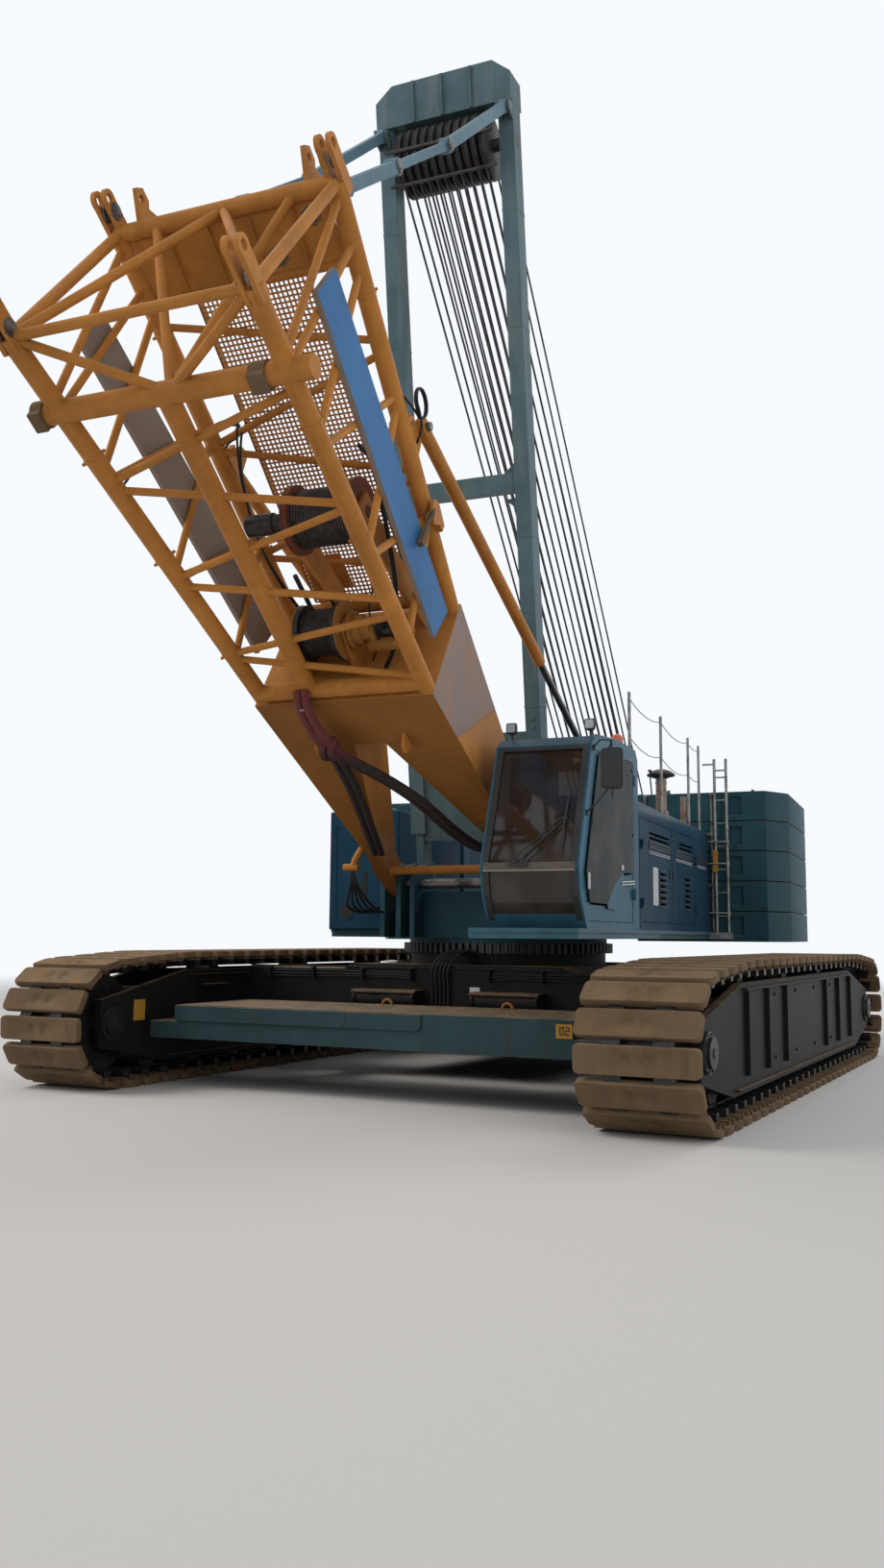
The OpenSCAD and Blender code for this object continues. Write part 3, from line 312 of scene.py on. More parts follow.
# Each look: its usual slot, how it is made, its material's name, its colour or that of the colour
# group, and how it is worn. A paint has roughness, wear, dust, rust and streaks; a steel has roughness
# and metalness; a rubber has roughness and grain; a glass has its cover and, for a lens, roughness.
LOOKS = {
    "boom": ("boom_paint", paint, "boom_paint", "boom", 0.5, 0.45, 0.25, 0.55, 0.35),
    # The foot's paint also carries painted shade on the faces that look down
    "boom_foot": ("boom_paint", paint, "boom_foot_paint", "boom", 0.5, 0.45, 0.2, 0.6, 0.4,
                  {"extra": foot_wash_and_shade}),
    "board": ("board_paint", paint, "board_paint", "board", 0.5, 0.5, 0.15, 0.1, 0.15,
              {"extra": board_back}),
    "mast": ("gantry_paint", paint, "gantry_paint", "mast", 0.5, 0.5, 0.2, 0.4, 0.5, {"extra": mast_wash}),
    "pendant": ("pendant_paint", paint, "pendant_paint", (0.11, 0.19, 0.24), 0.5, 0.6, 0.2, 0.4, 0.4),
    "house": ("blue_paint", paint, "house_paint", "house", 0.32, 0.35, 0.3, 0.15, 0.35, {"shine": 0.02}),
    "cab": ("blue_paint", paint, "cab_paint", "cab", 0.3, 0.4, 0.25, 0.1, 0.25, {"shine": 0.03}),
    "deck": ("blue_paint", paint, "deck_paint", (0.022, 0.075, 0.10), 0.5, 0.5, 0.5, 0.4, 0.6),
    "lip": ("blue_paint", paint, "platform_paint", (0.04, 0.105, 0.13), 0.45, 0.6, 0.45, 0.3, 0.4),
    "weight": ("counterweight_paint", paint, "counterweight_paint", "weight", 0.55, 0.5, 0.55, 0.25, 0.6),
    "ballast": ("ballast_paint", paint, "ballast_paint", "ballast", 0.55, 0.6, 1.0, 0.3, 0.6),
    "under": ("undercarriage_paint", paint, "undercarriage_paint", "under", 0.55, 0.35, 0.75, 0.4, 0.35,
              {"under": (0.09, 0.085, 0.08)}),
    "shoe": ("track_shoe", paint, "track_shoe", "shoe", 0.75, 0.35, 0.8, 0.5, 0.5,
             {"under": (0.24, 0.21, 0.18), "metal": 0.1}),
    "winch": ("winch_red", paint, "winch_red", (0.13, 0.04, 0.022), 0.6, 0.5, 0.3, 0.8, 0.4),
    "engine": ("pipe_paint", paint, "engine_grey", (0.10, 0.105, 0.11), 0.5, 0.5, 0.5, 0.3, 0.4),
    "drive": ("boom_paint", paint, "drive_paint", (0.33, 0.15, 0.035), 0.55, 0.5, 0.4, 0.9, 0.4),
    "sill": ("cab_plastic", paint, "sill_paint", (0.13, 0.112, 0.09), 0.5, 0.3, 0.2, 0.1, 0.4),
    "yellow": ("ballast_paint", paint, "yellow_paint", (0.42, 0.215, 0.03), 0.45, 0.3, 0.2, 0.1, 0.4),
    # Pale strip painted as the highlight on the cab's sill
    "cream": ("cab_plastic", paint, "cream_paint", (0.34, 0.30, 0.25), 0.45, 0.3, 0.2, 0.1, 0.4),
    "white": ("blue_paint", paint, "white_paint", (0.62, 0.63, 0.62), 0.45, 0.2, 0.2, 0.1, 0.4),
    "pipe": ("pipe_paint", steel, "pipe_metal", (0.27, 0.20, 0.15), 0.5, 0.6,
             {"grime": (0.07, 0.05, 0.035), "scale": 4.0, "rust": 0.9}),
    "grease": ("bare_steel", steel, "greased_steel", (0.05, 0.048, 0.045), 0.4, 0.7),
    "steel": ("bare_steel", steel, "bare_steel", (0.22, 0.21, 0.20), 0.42, 0.85),
    "rope": ("bare_steel", steel, "wire_rope", (0.075, 0.07, 0.066), 0.5, 0.6, {"scale": 14.0}),
    "zinc": ("rail_steel", steel, "galvanised", (0.33, 0.33, 0.31), 0.5, 0.75,
             {"grime": (0.12, 0.11, 0.095)}),
    "sheave": ("sheave_steel", steel, "sheave_steel", (0.07, 0.068, 0.066), 0.5, 0.55, {"rust": 0.5}),
    "rod": ("bare_steel", steel, "chromed_rod", (0.14, 0.14, 0.14), 0.32, 0.9),
    # Black rubber of the hoses, also used as the painted shade inside the house's opening
    "black": ("cab_plastic", rubber, "black_rubber", (0.016, 0.016, 0.017), 0.6, 30.0),
    "plastic": ("cab_plastic", rubber, "moulded_plastic", (0.03, 0.031, 0.033), 0.5, 90.0),
    "seat": ("seat_fabric", rubber, "seat_fabric", (0.035, 0.036, 0.042), 0.85, 220.0),
    "sling": ("pendant_paint", rubber, "sling_cloth", (0.13, 0.032, 0.032), 0.85, 160.0,
              {"extra": sling_sleeve}),
    "glass": ("cab_glass", glass, "cab_glass", (0.035, 0.026, 0.02), 0.62),
    "door_glass": ("cab_glass", glass, "door_glass", (0.014, 0.019, 0.021), 0.9, {"shine": 0.01}),
    "amber": ("lamp_body", glass, "beacon_lens", (0.65, 0.09, 0.015), 0.97, 0.2),
    "lens": ("lamp_body", glass, "lamp_lens", (0.42, 0.44, 0.45), 0.98, 0.12),
}
MADE = {}


def finish(look):
    """The material of a look, made when it is first asked for"""
    if look not in MADE:
        _, build, name, colour, *values = LOOKS[look]
        special = values.pop() if isinstance(values[-1], dict) else {}
        if isinstance(colour, str):
            colour = tuple(getattr(bpy.context.scene.crane_colours, colour))
        MADE[look] = build(name, colour, *values, **special)
    return MADE[look]


# Shapes

def in_side(y, z, x):
    """Corner of an outline that is seen from the side"""
    return (x, y, z)


def in_front(x, z, y):
    """Corner of an outline that is seen from the front"""
    return (x, y, z)


def turns(count):
    return [2 * pi * k / count for k in range(count)]


def arc(centre, radius, start, end, steps):
    """Points of an arc in a plane, angles in degrees"""
    angles = [radians(start + (end - start) * i / steps) for i in range(steps + 1)]
    return [(centre[0] + radius * cos(a), centre[1] + radius * sin(a)) for a in angles]


def rounded(low, high, radius, steps=5):
    """Outline of a rectangle with round corners"""
    a, b, c, d = low[0] + radius, low[1] + radius, high[0] - radius, high[1] - radius
    return [p for i, centre in enumerate(((c, d), (a, d), (a, b), (c, b)))
            for p in arc(centre, radius, 90 * i, 90 * i + 90, steps)]


def strip(a, b, low, high):
    """Outline between two points, from low to high beside the line that joins them"""
    return [(a[0], a[1] + low), (b[0], b[1] + low), (b[0], b[1] + high), (a[0], a[1] + high)]


def smooth_path(points, steps=6):
    """Points on a smooth curve through the given ones"""
    p = [Vector(q) for q in points]
    p = [p[0] * 2 - p[1]] + p + [p[-1] * 2 - p[-2]]
    found = []
    for i in range(1, len(p) - 2):
        for k in range(steps):
            t = k / steps
            found.append(0.5 * (2 * p[i] + (p[i + 1] - p[i - 1]) * t
                                + (2 * p[i - 1] - 5 * p[i] + 4 * p[i + 1] - p[i + 2]) * t ** 2
                                + (3 * p[i] - p[i - 1] - 3 * p[i + 1] + p[i + 2]) * t ** 3))
    return found + [p[-2]]


class Shape:
    """Corners and faces of one piece, in metres. It is measured in the frame of its body, or of the
    first of two bodies, given as (body, body, start, end)."""

    def __init__(self, body="undercarriage"):
        self.body, self.corners, self.faces = body, [], []
        self.place = PLACES[body[0] if isinstance(body, tuple) else body]

    def add(self, corners, faces):
        first = len(self.corners)
        self.corners += [self.place @ Vector(c) for c in corners]
        self.faces += [[first + i for i in face] for face in faces]
        return self

    def block(self, low, high, turn=None):
        corners = [Vector((x, y, z)) for x in (low[0], high[0]) for y in (low[1], high[1])
                   for z in (low[2], high[2])]
        if turn:
            middle = (Vector(low) + Vector(high)) / 2
            corners = [middle + turn @ (c - middle) for c in corners]
        return self.add(corners, [(0, 1, 3, 2), (4, 6, 7, 5), (0, 4, 5, 1), (2, 3, 7, 6), (0, 2, 6, 4),
                                  (1, 5, 7, 3)])

    def box(self, centre, x, y, low, high):
        """Block of half widths x and y about a centre, between two heights"""
        return self.block((centre[0] - x, centre[1] - y, low), (centre[0] + x, centre[1] + y, high))

    def prism(self, outline, low, high, to=in_side):
        """Outline drawn out from low to high; to sets its two coordinates and the third in order"""
        n = len(outline)
        corners = [to(a, b, h) for h in (low, high) for a, b in outline]
        faces = [list(range(n))[::-1], list(range(n, 2 * n))]
        return self.add(corners, faces + [(i, (i + 1) % n, n + (i + 1) % n, n + i) for i in range(n)])

    def skin(self, rings, sides, closed=False):
        """Joins rings of corners to a tube, with caps unless it is closed"""
        n = len(rings) // sides
        faces = [(i * sides + k, i * sides + (k + 1) % sides, (i + 1) % n * sides + (k + 1) % sides,
                  (i + 1) % n * sides + k) for i in range(n if closed else n - 1) for k in range(sides)]
        if not closed:
            faces += [list(range(sides))[::-1], list(range((n - 1) * sides, n * sides))]
        return self.add(rings, faces)

    def tube(self, points, radius, sides=8, closed=False):
        """Round tube through points"""
        points = [Vector(p) for p in points]
        n = len(points)
        rings, across = [], None
        for i, p in enumerate(points):
            before = points[i - 1] if closed or i else p
            after = points[(i + 1) % n] if closed or i < n - 1 else p
            along = (after - before).normalized()
            if across is None:
                across = along.orthogonal().normalized()
            across = (across - along * across.dot(along)).normalized()
            third = along.cross(across)
            rings += [p + (across * cos(a) + third * sin(a)) * radius for a in turns(sides)]
        return self.skin(rings, sides, closed)

    def lathe(self, centre, axis, profile, sides=24):
        """Solid turned about an axis; the profile's rows are a distance along it and a radius"""
        axis = Vector(axis).normalized()
        side = axis.orthogonal().normalized()
        third = axis.cross(side)
        rings = [Vector(centre) + axis * h + (side * cos(a) + third * sin(a)) * r
                 for h, r in profile for a in turns(sides)]
        return self.skin(rings, sides)

    def bolts(self, places, axis, radius, height):
        for p in places:
            self.lathe(p, axis, [(-0.002, radius), (height, radius), (height + 0.003, radius * 0.8)], 6)
        return self

    def bolt_circle(self, centre, out, spread, count, radius, height):
        """Bolts round a centre on a face across the x axis, which looks along out"""
        x, y, z = centre
        return self.bolts([(x, y + spread * cos(a), z + spread * sin(a)) for a in turns(count)],
                          (out, 0, 0), radius, height)


def slab(shape, left, right, low, high, thick):
    """Plate across the cab from one (y, z) point to another, thickened along its normal"""
    a, b, c, d = (Vector((x, *p)) for x, p in ((left, low), (right, low), (right, high), (left, high)))
    out = (b - a).cross(d - a).normalized() * thick
    return shape.add([a, b, c, d, a + out, b + out, c + out, d + out],
                     [(0, 3, 2, 1), (4, 5, 6, 7), (0, 1, 5, 4), (1, 2, 6, 5), (2, 3, 7, 6), (3, 0, 4, 7)])


def ring_plate(shape, outer, inner, x, thick):
    """Flat ring between two outlines (y, z) with as many points, on a side wall"""
    n = len(outer)
    corners = [(h, y, z) for h in (x, x + thick) for row in (outer, inner) for y, z in row]
    faces = []
    for i in range(n):
        j = (i + 1) % n
        faces += [(i, j, n + j, n + i), (2 * n + i, 3 * n + i, 3 * n + j, 2 * n + j),
                  (i, 2 * n + i, 2 * n + j, j), (n + i, n + j, 3 * n + j, 3 * n + i)]
    return shape.add(corners, faces)


def collar(shape, point, along, radius, width, proud):
    """Clamp ring round a tube, with its bolted ears"""
    along = Vector(along).normalized()
    shape.lathe(Vector(point) - along * width / 2, along,
                [(0, radius), (0.001, radius + proud), (width - 0.001, radius + proud), (width, radius)], 20)
    side = along.orthogonal().normalized() * (radius + proud + 0.012)
    for s in BOTH:
        middle = Vector(point) + side * s
        shape.lathe(middle - along * width * 0.35, along, [(0, 0.016), (width * 0.7, 0.016)], 6)


def taken(solid):
    """Corners and faces of a bmesh, which is freed"""
    solid.verts.index_update()
    found = [v.co.copy() for v in solid.verts], [[v.index for v in f.verts] for f in solid.faces]
    solid.free()
    return found


def round_edges(piece, width):
    edge = piece.modifiers.new("edges", "BEVEL")
    edge.width, edge.segments, edge.limit_method = width, 2, "ANGLE"
    edge.angle_limit, edge.harden_normals = radians(40), True
    edge.use_clamp_overlap = True


def make(name, shape, look, slot=None, stands_for=(), bevel=0.0, smooth=40):
    """Turns a shape into a piece that rides on its body; a piece given two bodies rides on neither"""
    mesh = bpy.data.meshes.new(name)
    mesh.from_pydata(shape.corners, [], shape.faces)
    solid = bmesh.new()
    solid.from_mesh(mesh)
    bmesh.ops.recalc_face_normals(solid, faces=solid.faces)
    solid.to_mesh(mesh)
    solid.free()
    mesh.polygons.foreach_set("use_smooth", [True] * len(mesh.polygons))
    mesh.set_sharp_from_angle(angle=radians(smooth))
    mesh.materials.append(finish(look))
    piece = bpy.data.objects.new(name, mesh)
    bpy.context.scene.collection.objects.link(piece)
    if bevel:
        round_edges(piece, bevel)
    if isinstance(shape.body, tuple):
        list(shape.body)
        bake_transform(piece)
    else:
        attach(piece, shape.body)
    slot or LOOKS[look][0]
    if stands_for:
        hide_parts(*stands_for)
    return piece


# Lines of the boom, as in its solids, in its own frame: u goes up from the foot pins, as -y

BOX_END, HEAD = 4.15, 8.74


def boom_share(u):
    return (u - BOX_END) / (HEAD - BOX_END)


def chord_x(u):
    return 0.93 + 0.19 * boom_share(u)


def chord_z(u, level):
    return -0.09 + 0.145 * boom_share(u) + level * (0.59 + 0.475 * boom_share(u))


def on_chord(side, u, level):
    return Vector((side * chord_x(u), -u, chord_z(u, level)))


def box_under(u):
    """Height of the foot box's underside"""
    return -0.31 - 0.1454 * (u - 1)


# Stage

SKY = (0.93, 0.96, 1.0, 1)
LAMPS = [("key", 4300, 14, (-18, -14, 20), (0, 0, 4), (1, 0.97, 0.93)),
         ("fill", 900, 16, (20, -14, 9), (0, 0, 3), (0.93, 0.97, 1)),
         ("rim", 3000, 14, (8, 22, 18), (0, 0, 6), (1, 1, 1))]


class CRANE_OT_stage(bpy.types.Operator):
    """Adds the camera, the lamps, the pale floor and the background"""
    bl_idname = "crane.stage"
    bl_label = "Stage"

    def execute(self, context):
        scene = context.scene
        scene.view_settings.view_transform = "Standard"
        camera = bpy.data.objects.new("camera", bpy.data.cameras.new("camera"))
        scene.collection.objects.link(camera)
        yaw, pitch, roll = radians(27.53), radians(6.91), radians(0.40)
        turn = (Matrix.Rotation(yaw, 3, "Z") @ Matrix.Rotation(pi / 2 + pitch, 3, "X")
                @ Matrix.Rotation(roll, 3, "Z"))
        camera.matrix_world = Matrix.Translation((7.31, -16.057, 1.826)) @ turn.to_4x4()
        camera.data.sensor_width, camera.data.lens = 36, 28.69
        camera.data.clip_end = 400
        scene.camera = camera
        for name, energy, size, place, aim, colour in LAMPS:
            lamp = bpy.data.objects.new(name, bpy.data.lights.new(name, "AREA"))
            scene.collection.objects.link(lamp)
            lamp.data.energy, lamp.data.size, lamp.data.color = energy, size, colour
            lamp.location = place
            lamp.rotation_euler = (Vector(aim) - Vector(place)).to_track_quat("-Z", "Y").to_euler()
            lamp.visible_camera = lamp.visible_glossy = False
        scene.world = bpy.data.worlds.new("studio")
        scene.world.use_nodes = True
        kit = Kit(scene.world.node_tree)
        # The background is full bright where it shows and dimmer as a light
        seen = sum(kit.node("ShaderNodeLightPath", out="Is %s Ray" % ray)
                   for ray in ("Camera", "Glossy", "Transmission"))
        strength = kit.node("ShaderNodeMapRange", None, {0: seen, 3: 0.54, 4: 1.0})
        light = kit.node("ShaderNodeBackground", None, {"Color": SKY, "Strength": strength})
        kit.node("ShaderNodeOutputWorld", None, {0: light})

        mesh = bpy.data.meshes.new("floor")
        mesh.from_pydata([(x * 90, y * 90, -0.002) for x, y in ((-1, -1), (1, -1), (1, 1), (-1, 1))], [],
                         [(0, 1, 2, 3)])
        kit = Finish("pale_floor")
        reach = kit.node("ShaderNodeVectorMath", {"operation": "LENGTH"}, {0: kit.place()}, "Value")
        matt = kit.node("ShaderNodeBsdfDiffuse", None, {"Color": (0.60, 0.58, 0.555, 1)})
        glow = kit.node("ShaderNodeEmission", None, {"Color": SKY, "Strength": 1.0})
        mesh.materials.append(kit.end(kit.node("ShaderNodeMixShader", None,
                                               {0: kit.step(reach, 16.0, 46.0), 1: matt, 2: glow})))
        plane = bpy.data.objects.new("floor", mesh)
        scene.collection.objects.link(plane)
        return {"FINISHED"}


# Cords and hoses

def hang(name, points, radius, look="black", body="boom"):
    """A free cord as a tube on a smooth line through points, both of its ends on the crane"""
    shape = Shape(body)
    path = [shape.place @ p for p in smooth_path(points, max(2, 32 // len(points)))]
    shape.place = GROUND
    piece = make(name, shape.tube(path, radius), look)
    return (piece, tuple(path[0]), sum((b - a).length for a, b in zip(path, path[1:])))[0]


def coil(centre, across, radius, start, drift, count):
    """Points of upright turns of twelve steps, each step a little further along drift"""
    return [Vector(centre) + Vector(across) * radius * cos(radians(start + 30 * k))
            + Vector(Z) * radius * sin(radians(start + 30 * k)) + Vector(drift) * k for k in range(count)]


class CRANE_OT_foot_hoses(bpy.types.Operator):
    """Hangs the hydraulic hoses between the boom's left foot and the deck"""
    bl_idname = "crane.foot_hoses"
    bl_label = "Boom foot hoses"

    def execute(self, context):
        across = ("superstructure", "boom", DECK @ Vector((-1.2, -1.75, 2.25)),
                  DECK @ Vector((-1.15, -2.5, 2.7)))
        for i in range(5):
            out = -1.47 + 0.085 * i
            points = [(-1.0, -2.48, 2.93), (-1.07, -2.58, 2.86), (-1.17, -2.6, 2.66),
                      (-1.25 + 0.03 * i, -2.5, 2.42), (out + 0.02, -2.15, 2.2), (out, -1.75, 2.12),
                      (out - 0.08, -1.35, 2.15), (out - 0.14, -1.0, 2.2)]
            hang("foot_hose_%d" % (i + 1), points, context.scene.crane_sizes.hose_radius, body=across)
        return {"FINISHED"}


class CRANE_OT_boom_hoses(bpy.types.Operator):
    """Hangs the hoses of the boom's winches and its pin cylinders"""
    bl_idname = "crane.boom_hoses"
    bl_label = "Boom hoses"

    def execute(self, context):
        radius = context.scene.crane_sizes.hose_radius * 0.75
        left = coil((-0.98, -6.3, 1.0), X, 0.17, 300, (0, -0.0027, 0), 33)
        hang("left_chord_hose", [(-1.0, -6.2, 0.8)] + left
             + [(-1.17, -6.42, 0.8), (-1.18, -6.55, 0.5), (-1.16, -6.75, 0.1), (-1.1, -6.93, -0.4),
                (-1.05, -7.0, -0.8)], radius)
        right = coil((1.16, -6.3, 1.02), Y, 0.14, 270, (0.02 / 12, 0, 0), 25)
        hang("backstop_hose", [(1.03, -6.62, 0.83), (1.11, -6.47, 0.87)] + right
             + [(1.17, -6.14, 0.87), (1.1, -6.02, 0.82), (1.01, -5.92, 0.75)], radius)
        hang("board_hose", [(0.5, -6.1, 0.79), (0.64, -5.95, 0.66), (0.72, -5.6, 0.32), (0.74, -5.2, 0.05),
                            (0.7, -4.8, -0.16), (0.56, -4.4, -0.3), (0.4, -4.17, -0.34)], 0.024)
        hang("drum_hose", [(0.66, -5.75, -0.02), (0.7, -5.72, -0.12), (0.71, -5.5, -0.38),
                           (0.66, -5.2, -0.44), (0.52, -5.0, -0.36), (0.44, -4.72, -0.3),
                           (0.42, -4.5, -0.26), (0.22, -4.17, -0.22)], 0.009)
        for i in range(2):
            hang("walkway_hose_%d" % (i + 1),
                 [(-0.59, -6.6 + 0.1 * i, 0.862 - 0.012 * i), (-0.66, -6.5 + 0.1 * i, 0.74),
                  (-0.68, -6.1, 0.42 + 0.03 * i), (-0.66, -5.5, 0.18), (-0.6, -4.9, 0.12 + 0.03 * i),
                  (-0.55, -4.4, 0.22), (-0.52 + 0.05 * i, -4.16, 0.26)], radius)
        return {"FINISHED"}


def travel_hose_x(i):
    """Place across the carbody of a travel hose where it hangs down"""
    return -0.02 - 0.058 * i


class CRANE_OT_carbody_hoses(bpy.types.Operator):
    """Lays the travel hoses from the slewing ring over the carbody's front edge"""
    bl_idname = "crane.carbody_hoses"
    bl_label = "Carbody hoses"

    def execute(self, context):
        for i in range(5):
            x = travel_hose_x(i)
            points = [(0.32 - 0.05 * i, -1.36, 1.455), (0.26 - 0.05 * i, -1.44, 1.57),
                      (0.15 - 0.055 * i, -1.6, 1.63), (0.05 - 0.058 * i, -1.75, 1.54), (x, -1.8, 1.38),
                      (x, -1.785, 1.2), (x, -1.778, 1.0), (x, -1.778, 0.88)]
            hang("travel_hose_%d" % (i + 1), points, context.scene.crane_sizes.hose_radius,
                 body="undercarriage")
        return {"FINISHED"}


# Points of a sling as x, distance up the boom and drop below its box: the knot's end that both share,
# and the way on to each foot
SLING_KNOT = [(-0.42, 4.34, -0.02), (-0.41, 4.22, 0.11), (-0.38, 3.98, 0.21), (-0.32, 3.62, 0.25)]
SLING_WAYS = {
    "left": [(-0.44, 2.9, 0.16), (-0.58, 2.2, 0.13), (-0.75, 1.5, 0.08), (-0.9, 1.04, -0.02)],
    "right": [(0.02, 2.88, 0.17), (0.25, 2.41, 0.18), (0.42, 1.8, 0.18), (0.6, 1.35, 0.14),
              (0.84, 1.12, -0.02)]}


class CRANE_OT_slings(bpy.types.Operator):
    """Hangs the round slings from the shackle under the boom to its two feet"""
    bl_idname = "crane.slings"
    bl_label = "Round slings"

    def execute(self, context):
        for side, way in SLING_WAYS.items():
            for i in range(2):
                points = [(x + 0.09 * i, -u, box_under(u) - (d + 0.01 * i)) for x, u, d in SLING_KNOT + way]
                hang("sling_%s_%d" % (side, i + 1), points, context.scene.crane_sizes.sling_radius,
                     "sling")
        return {"FINISHED"}


class CRANE_OT_post_wires(bpy.types.Operator):
    """Hangs the guard wires between the roof posts"""
    bl_idname = "crane.post_wires"
    bl_label = "Guard wires"

    def execute(self, context):
        posts = [-1.9, -0.06, 1.9, 2.77]
        for i, (a, b) in enumerate(zip(posts, posts[1:])):
            sag = 0.045 * (b - a)
            for level, z in (("upper", 4.72), ("lower", 4.24)):
                points = [(2.2, a + (b - a) * t, z - 4 * sag * t * (1 - t))
                          for t in (0, 0.2, 0.4, 0.6, 0.8, 1)]
                hang("guard_wire_%s_%d" % (level, i + 1), points, 0.0055, "rope", "superstructure")
        return {"FINISHED"}


# Finishes of the solids

NODE_LOOKS = {name: look for look, names in {
    "under": "carbody carbody_jacks track_frame_left track_frame_right travel_drives",
    "grease": "slewing_ring end_wheels drive_sprockets track_rollers hoist_drum lower_drum",
    "ballast": "ballast_front ballast_rear", "shoe": "track_left track_right", "deck": "deck",
    "steel": "foot_pins", "lip": "cab_platform", "cab": "cab_shell cab_door", "glass": "cab_glass",
    "door_glass": "door_glass", "seat": "operator_seat", "plastic": "cab_console cab_lamps mirror",
    "house": "house_left house_door_front house_door_rear house_right", "engine": "engine",
    "pipe": "intake_pipes", "zinc": "roof_posts rear_ladder",
    "weight": "counterweight_left counterweight_right", "mast": "tail_block gantry_frame gantry_head",
    "sheave": "gantry_sheaves", "pendant": "pendants", "boom_foot": "boom_foot_box",
    "boom": "boom_lattice boom_walkway winch_frames backstop_tubes", "board": "side_boards",
    "winch": "upper_drum", "rod": "backstop_rods"}.items() for name in names.split()}

# Width of the rounded edges that a solid gets, where it isn't 4 mm
ROUNDED = {"ballast_front": 0.008, "ballast_rear": 0.008, "counterweight_left": 0.022,
           "counterweight_right": 0.022, "gantry_head": 0, "cab_glass": 0, "door_glass": 0,
           "slewing_ring": 0, "boom_lattice": 0, "cab_shell": 0.012, "boom_foot_box": 0.006,
           "house_left": 0.006, "house_right": 0.02, "track_rollers": 0, "mirror": 0.012}


def shading_group():
    """Node group that joins a solid's split corners and shades it smooth up to its edges"""
    group = bpy.data.node_groups.new("solid_shading", "GeometryNodeTree")
    for way in ("INPUT", "OUTPUT"):
        group.interface.new_socket("Geometry", in_out=way, socket_type="NodeSocketGeometry")
    kit = Kit(group)
    angle = kit.node("GeometryNodeInputMeshEdgeAngle", out="Unsigned Angle")
    sharp = kit.node("FunctionNodeCompare", {"operation": "GREATER_THAN"}, {0: angle, 1: radians(32)})
    wire = kit.node("NodeGroupInput")
    for kind, settings, sockets in [
            ("GeometryNodeRemoveAttribute", None, {"Name": "custom_normal"}),
            ("GeometryNodeMergeByDistance", None, {"Distance": 0.00002}),
            ("GeometryNodeSetShadeSmooth", {"domain": "FACE"}, {}),
            ("GeometryNodeSetShadeSmooth", {"domain": "EDGE"}, {"Shade Smooth": False, "Selection": sharp})]:
        wire = kit.node(kind, settings, {"Geometry": wire, **sockets})
    kit.node("NodeGroupOutput", None, {0: wire})
    return group


class CRANE_OT_solid_finishes(bpy.types.Operator):
    """Gives every solid of the crane its finish and its rounded edges"""
    bl_idname = "crane.solid_finishes"
    bl_label = "Finishes of the solids"

    def execute(self, context):
        group = shading_group()
        for name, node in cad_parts.items():
            node.data.materials.clear()
            node.data.materials.append(finish(NODE_LOOKS[name]))
            node.modifiers.new("shading", "NODES").node_group = group
            width = ROUNDED.get(name, 0.004)
            if width:
                round_edges(node, width)
        return {"FINISHED"}


# Tracks

GAUGE, SHOE_COUNT, SHOE_HALF = 7.2, 64, 0.6
END_Y, END_R, TOP_Z, TOP_Y = 4.45, 0.76, 1.6, 3.2
INWARDS = 0.06


def track_path():
    """Closed outline of a track at the foot of its shoes, as (y, z) points"""
    d = (TOP_Y - END_Y, TOP_Z - END_R)
    bend = degrees(atan2(d[1], d[0]) - acos(END_R / hypot(*d)))
    return (arc((END_Y, END_R), END_R, -90, bend, 12) + [(TOP_Y, TOP_Z), (-TOP_Y, TOP_Z)]
            + arc((-END_Y, END_R), END_R, 180 - bend, 270, 12))


def shoe_seats(gap):
    """Middle, direction and length of each shoe along the track"""
    path = track_path()
    ends = list(zip(path, path[1:] + path[:1]))
    sums = [0]
    for a, b in ends:
        sums.append(sums[-1] + hypot(b[0] - a[0], b[1] - a[1]))

    def at(s):
        s %= sums[-1]
        i = max(k for k in range(len(ends)) if sums[k] <= s)
        (a, b), t = ends[i], (s - sums[i]) / (sums[i + 1] - sums[i])
        return Vector((a[0] + (b[0] - a[0]) * t, a[1] + (b[1] - a[1]) * t))
    pitch = sums[-1] / SHOE_COUNT
    for i in range(SHOE_COUNT):
        a, b = at(i * pitch + gap / 2), at((i + 1) * pitch - gap / 2)
        yield (a + b) / 2, (b - a).normalized(), (b - a).length


def shoe_template(long):
    """Corners and faces of one shoe: x across the track, y along it, z outwards"""
    solid = bmesh.new()
    rim = rounded((-SHOE_HALF, -long / 2), (SHOE_HALF, long / 2), 0.05, 3)

    def ring_of(points):
        return [solid.verts.new(p) for p in points]

    def join(low, high):
        for i in range(len(low)):
            j = (i + 1) % len(low)
            solid.faces.new((low[i], low[j], high[j], high[i]))
    rings = [ring_of((x * a, y * b, z) for x, y in rim)
             for a, b, z in ((1, 1, -0.012), (1, 1, 0.044), (0.99, 0.955, 0.06))]
    for low, high in zip(rings, rings[1:]):
        join(low, high)
    solid.faces.new(rings[0][::-1])
    rims = [rings[-1]]
    for x in (-0.1, 0.1):
        top, floor = (ring_of((x + r * cos(a), r * sin(a), z) for a in turns(10))
                      for r, z in ((0.078, 0.06), (0.05, 0.038)))
        join(top, floor)
        solid.faces.new(floor)
        rims.append(top)
    edges = [solid.edges.get((ring[i], ring[(i + 1) % len(ring)]))
             for ring in rims for i in range(len(ring))]
    bmesh.ops.triangle_fill(solid, edges=edges, use_beauty=True)
    return taken(solid)


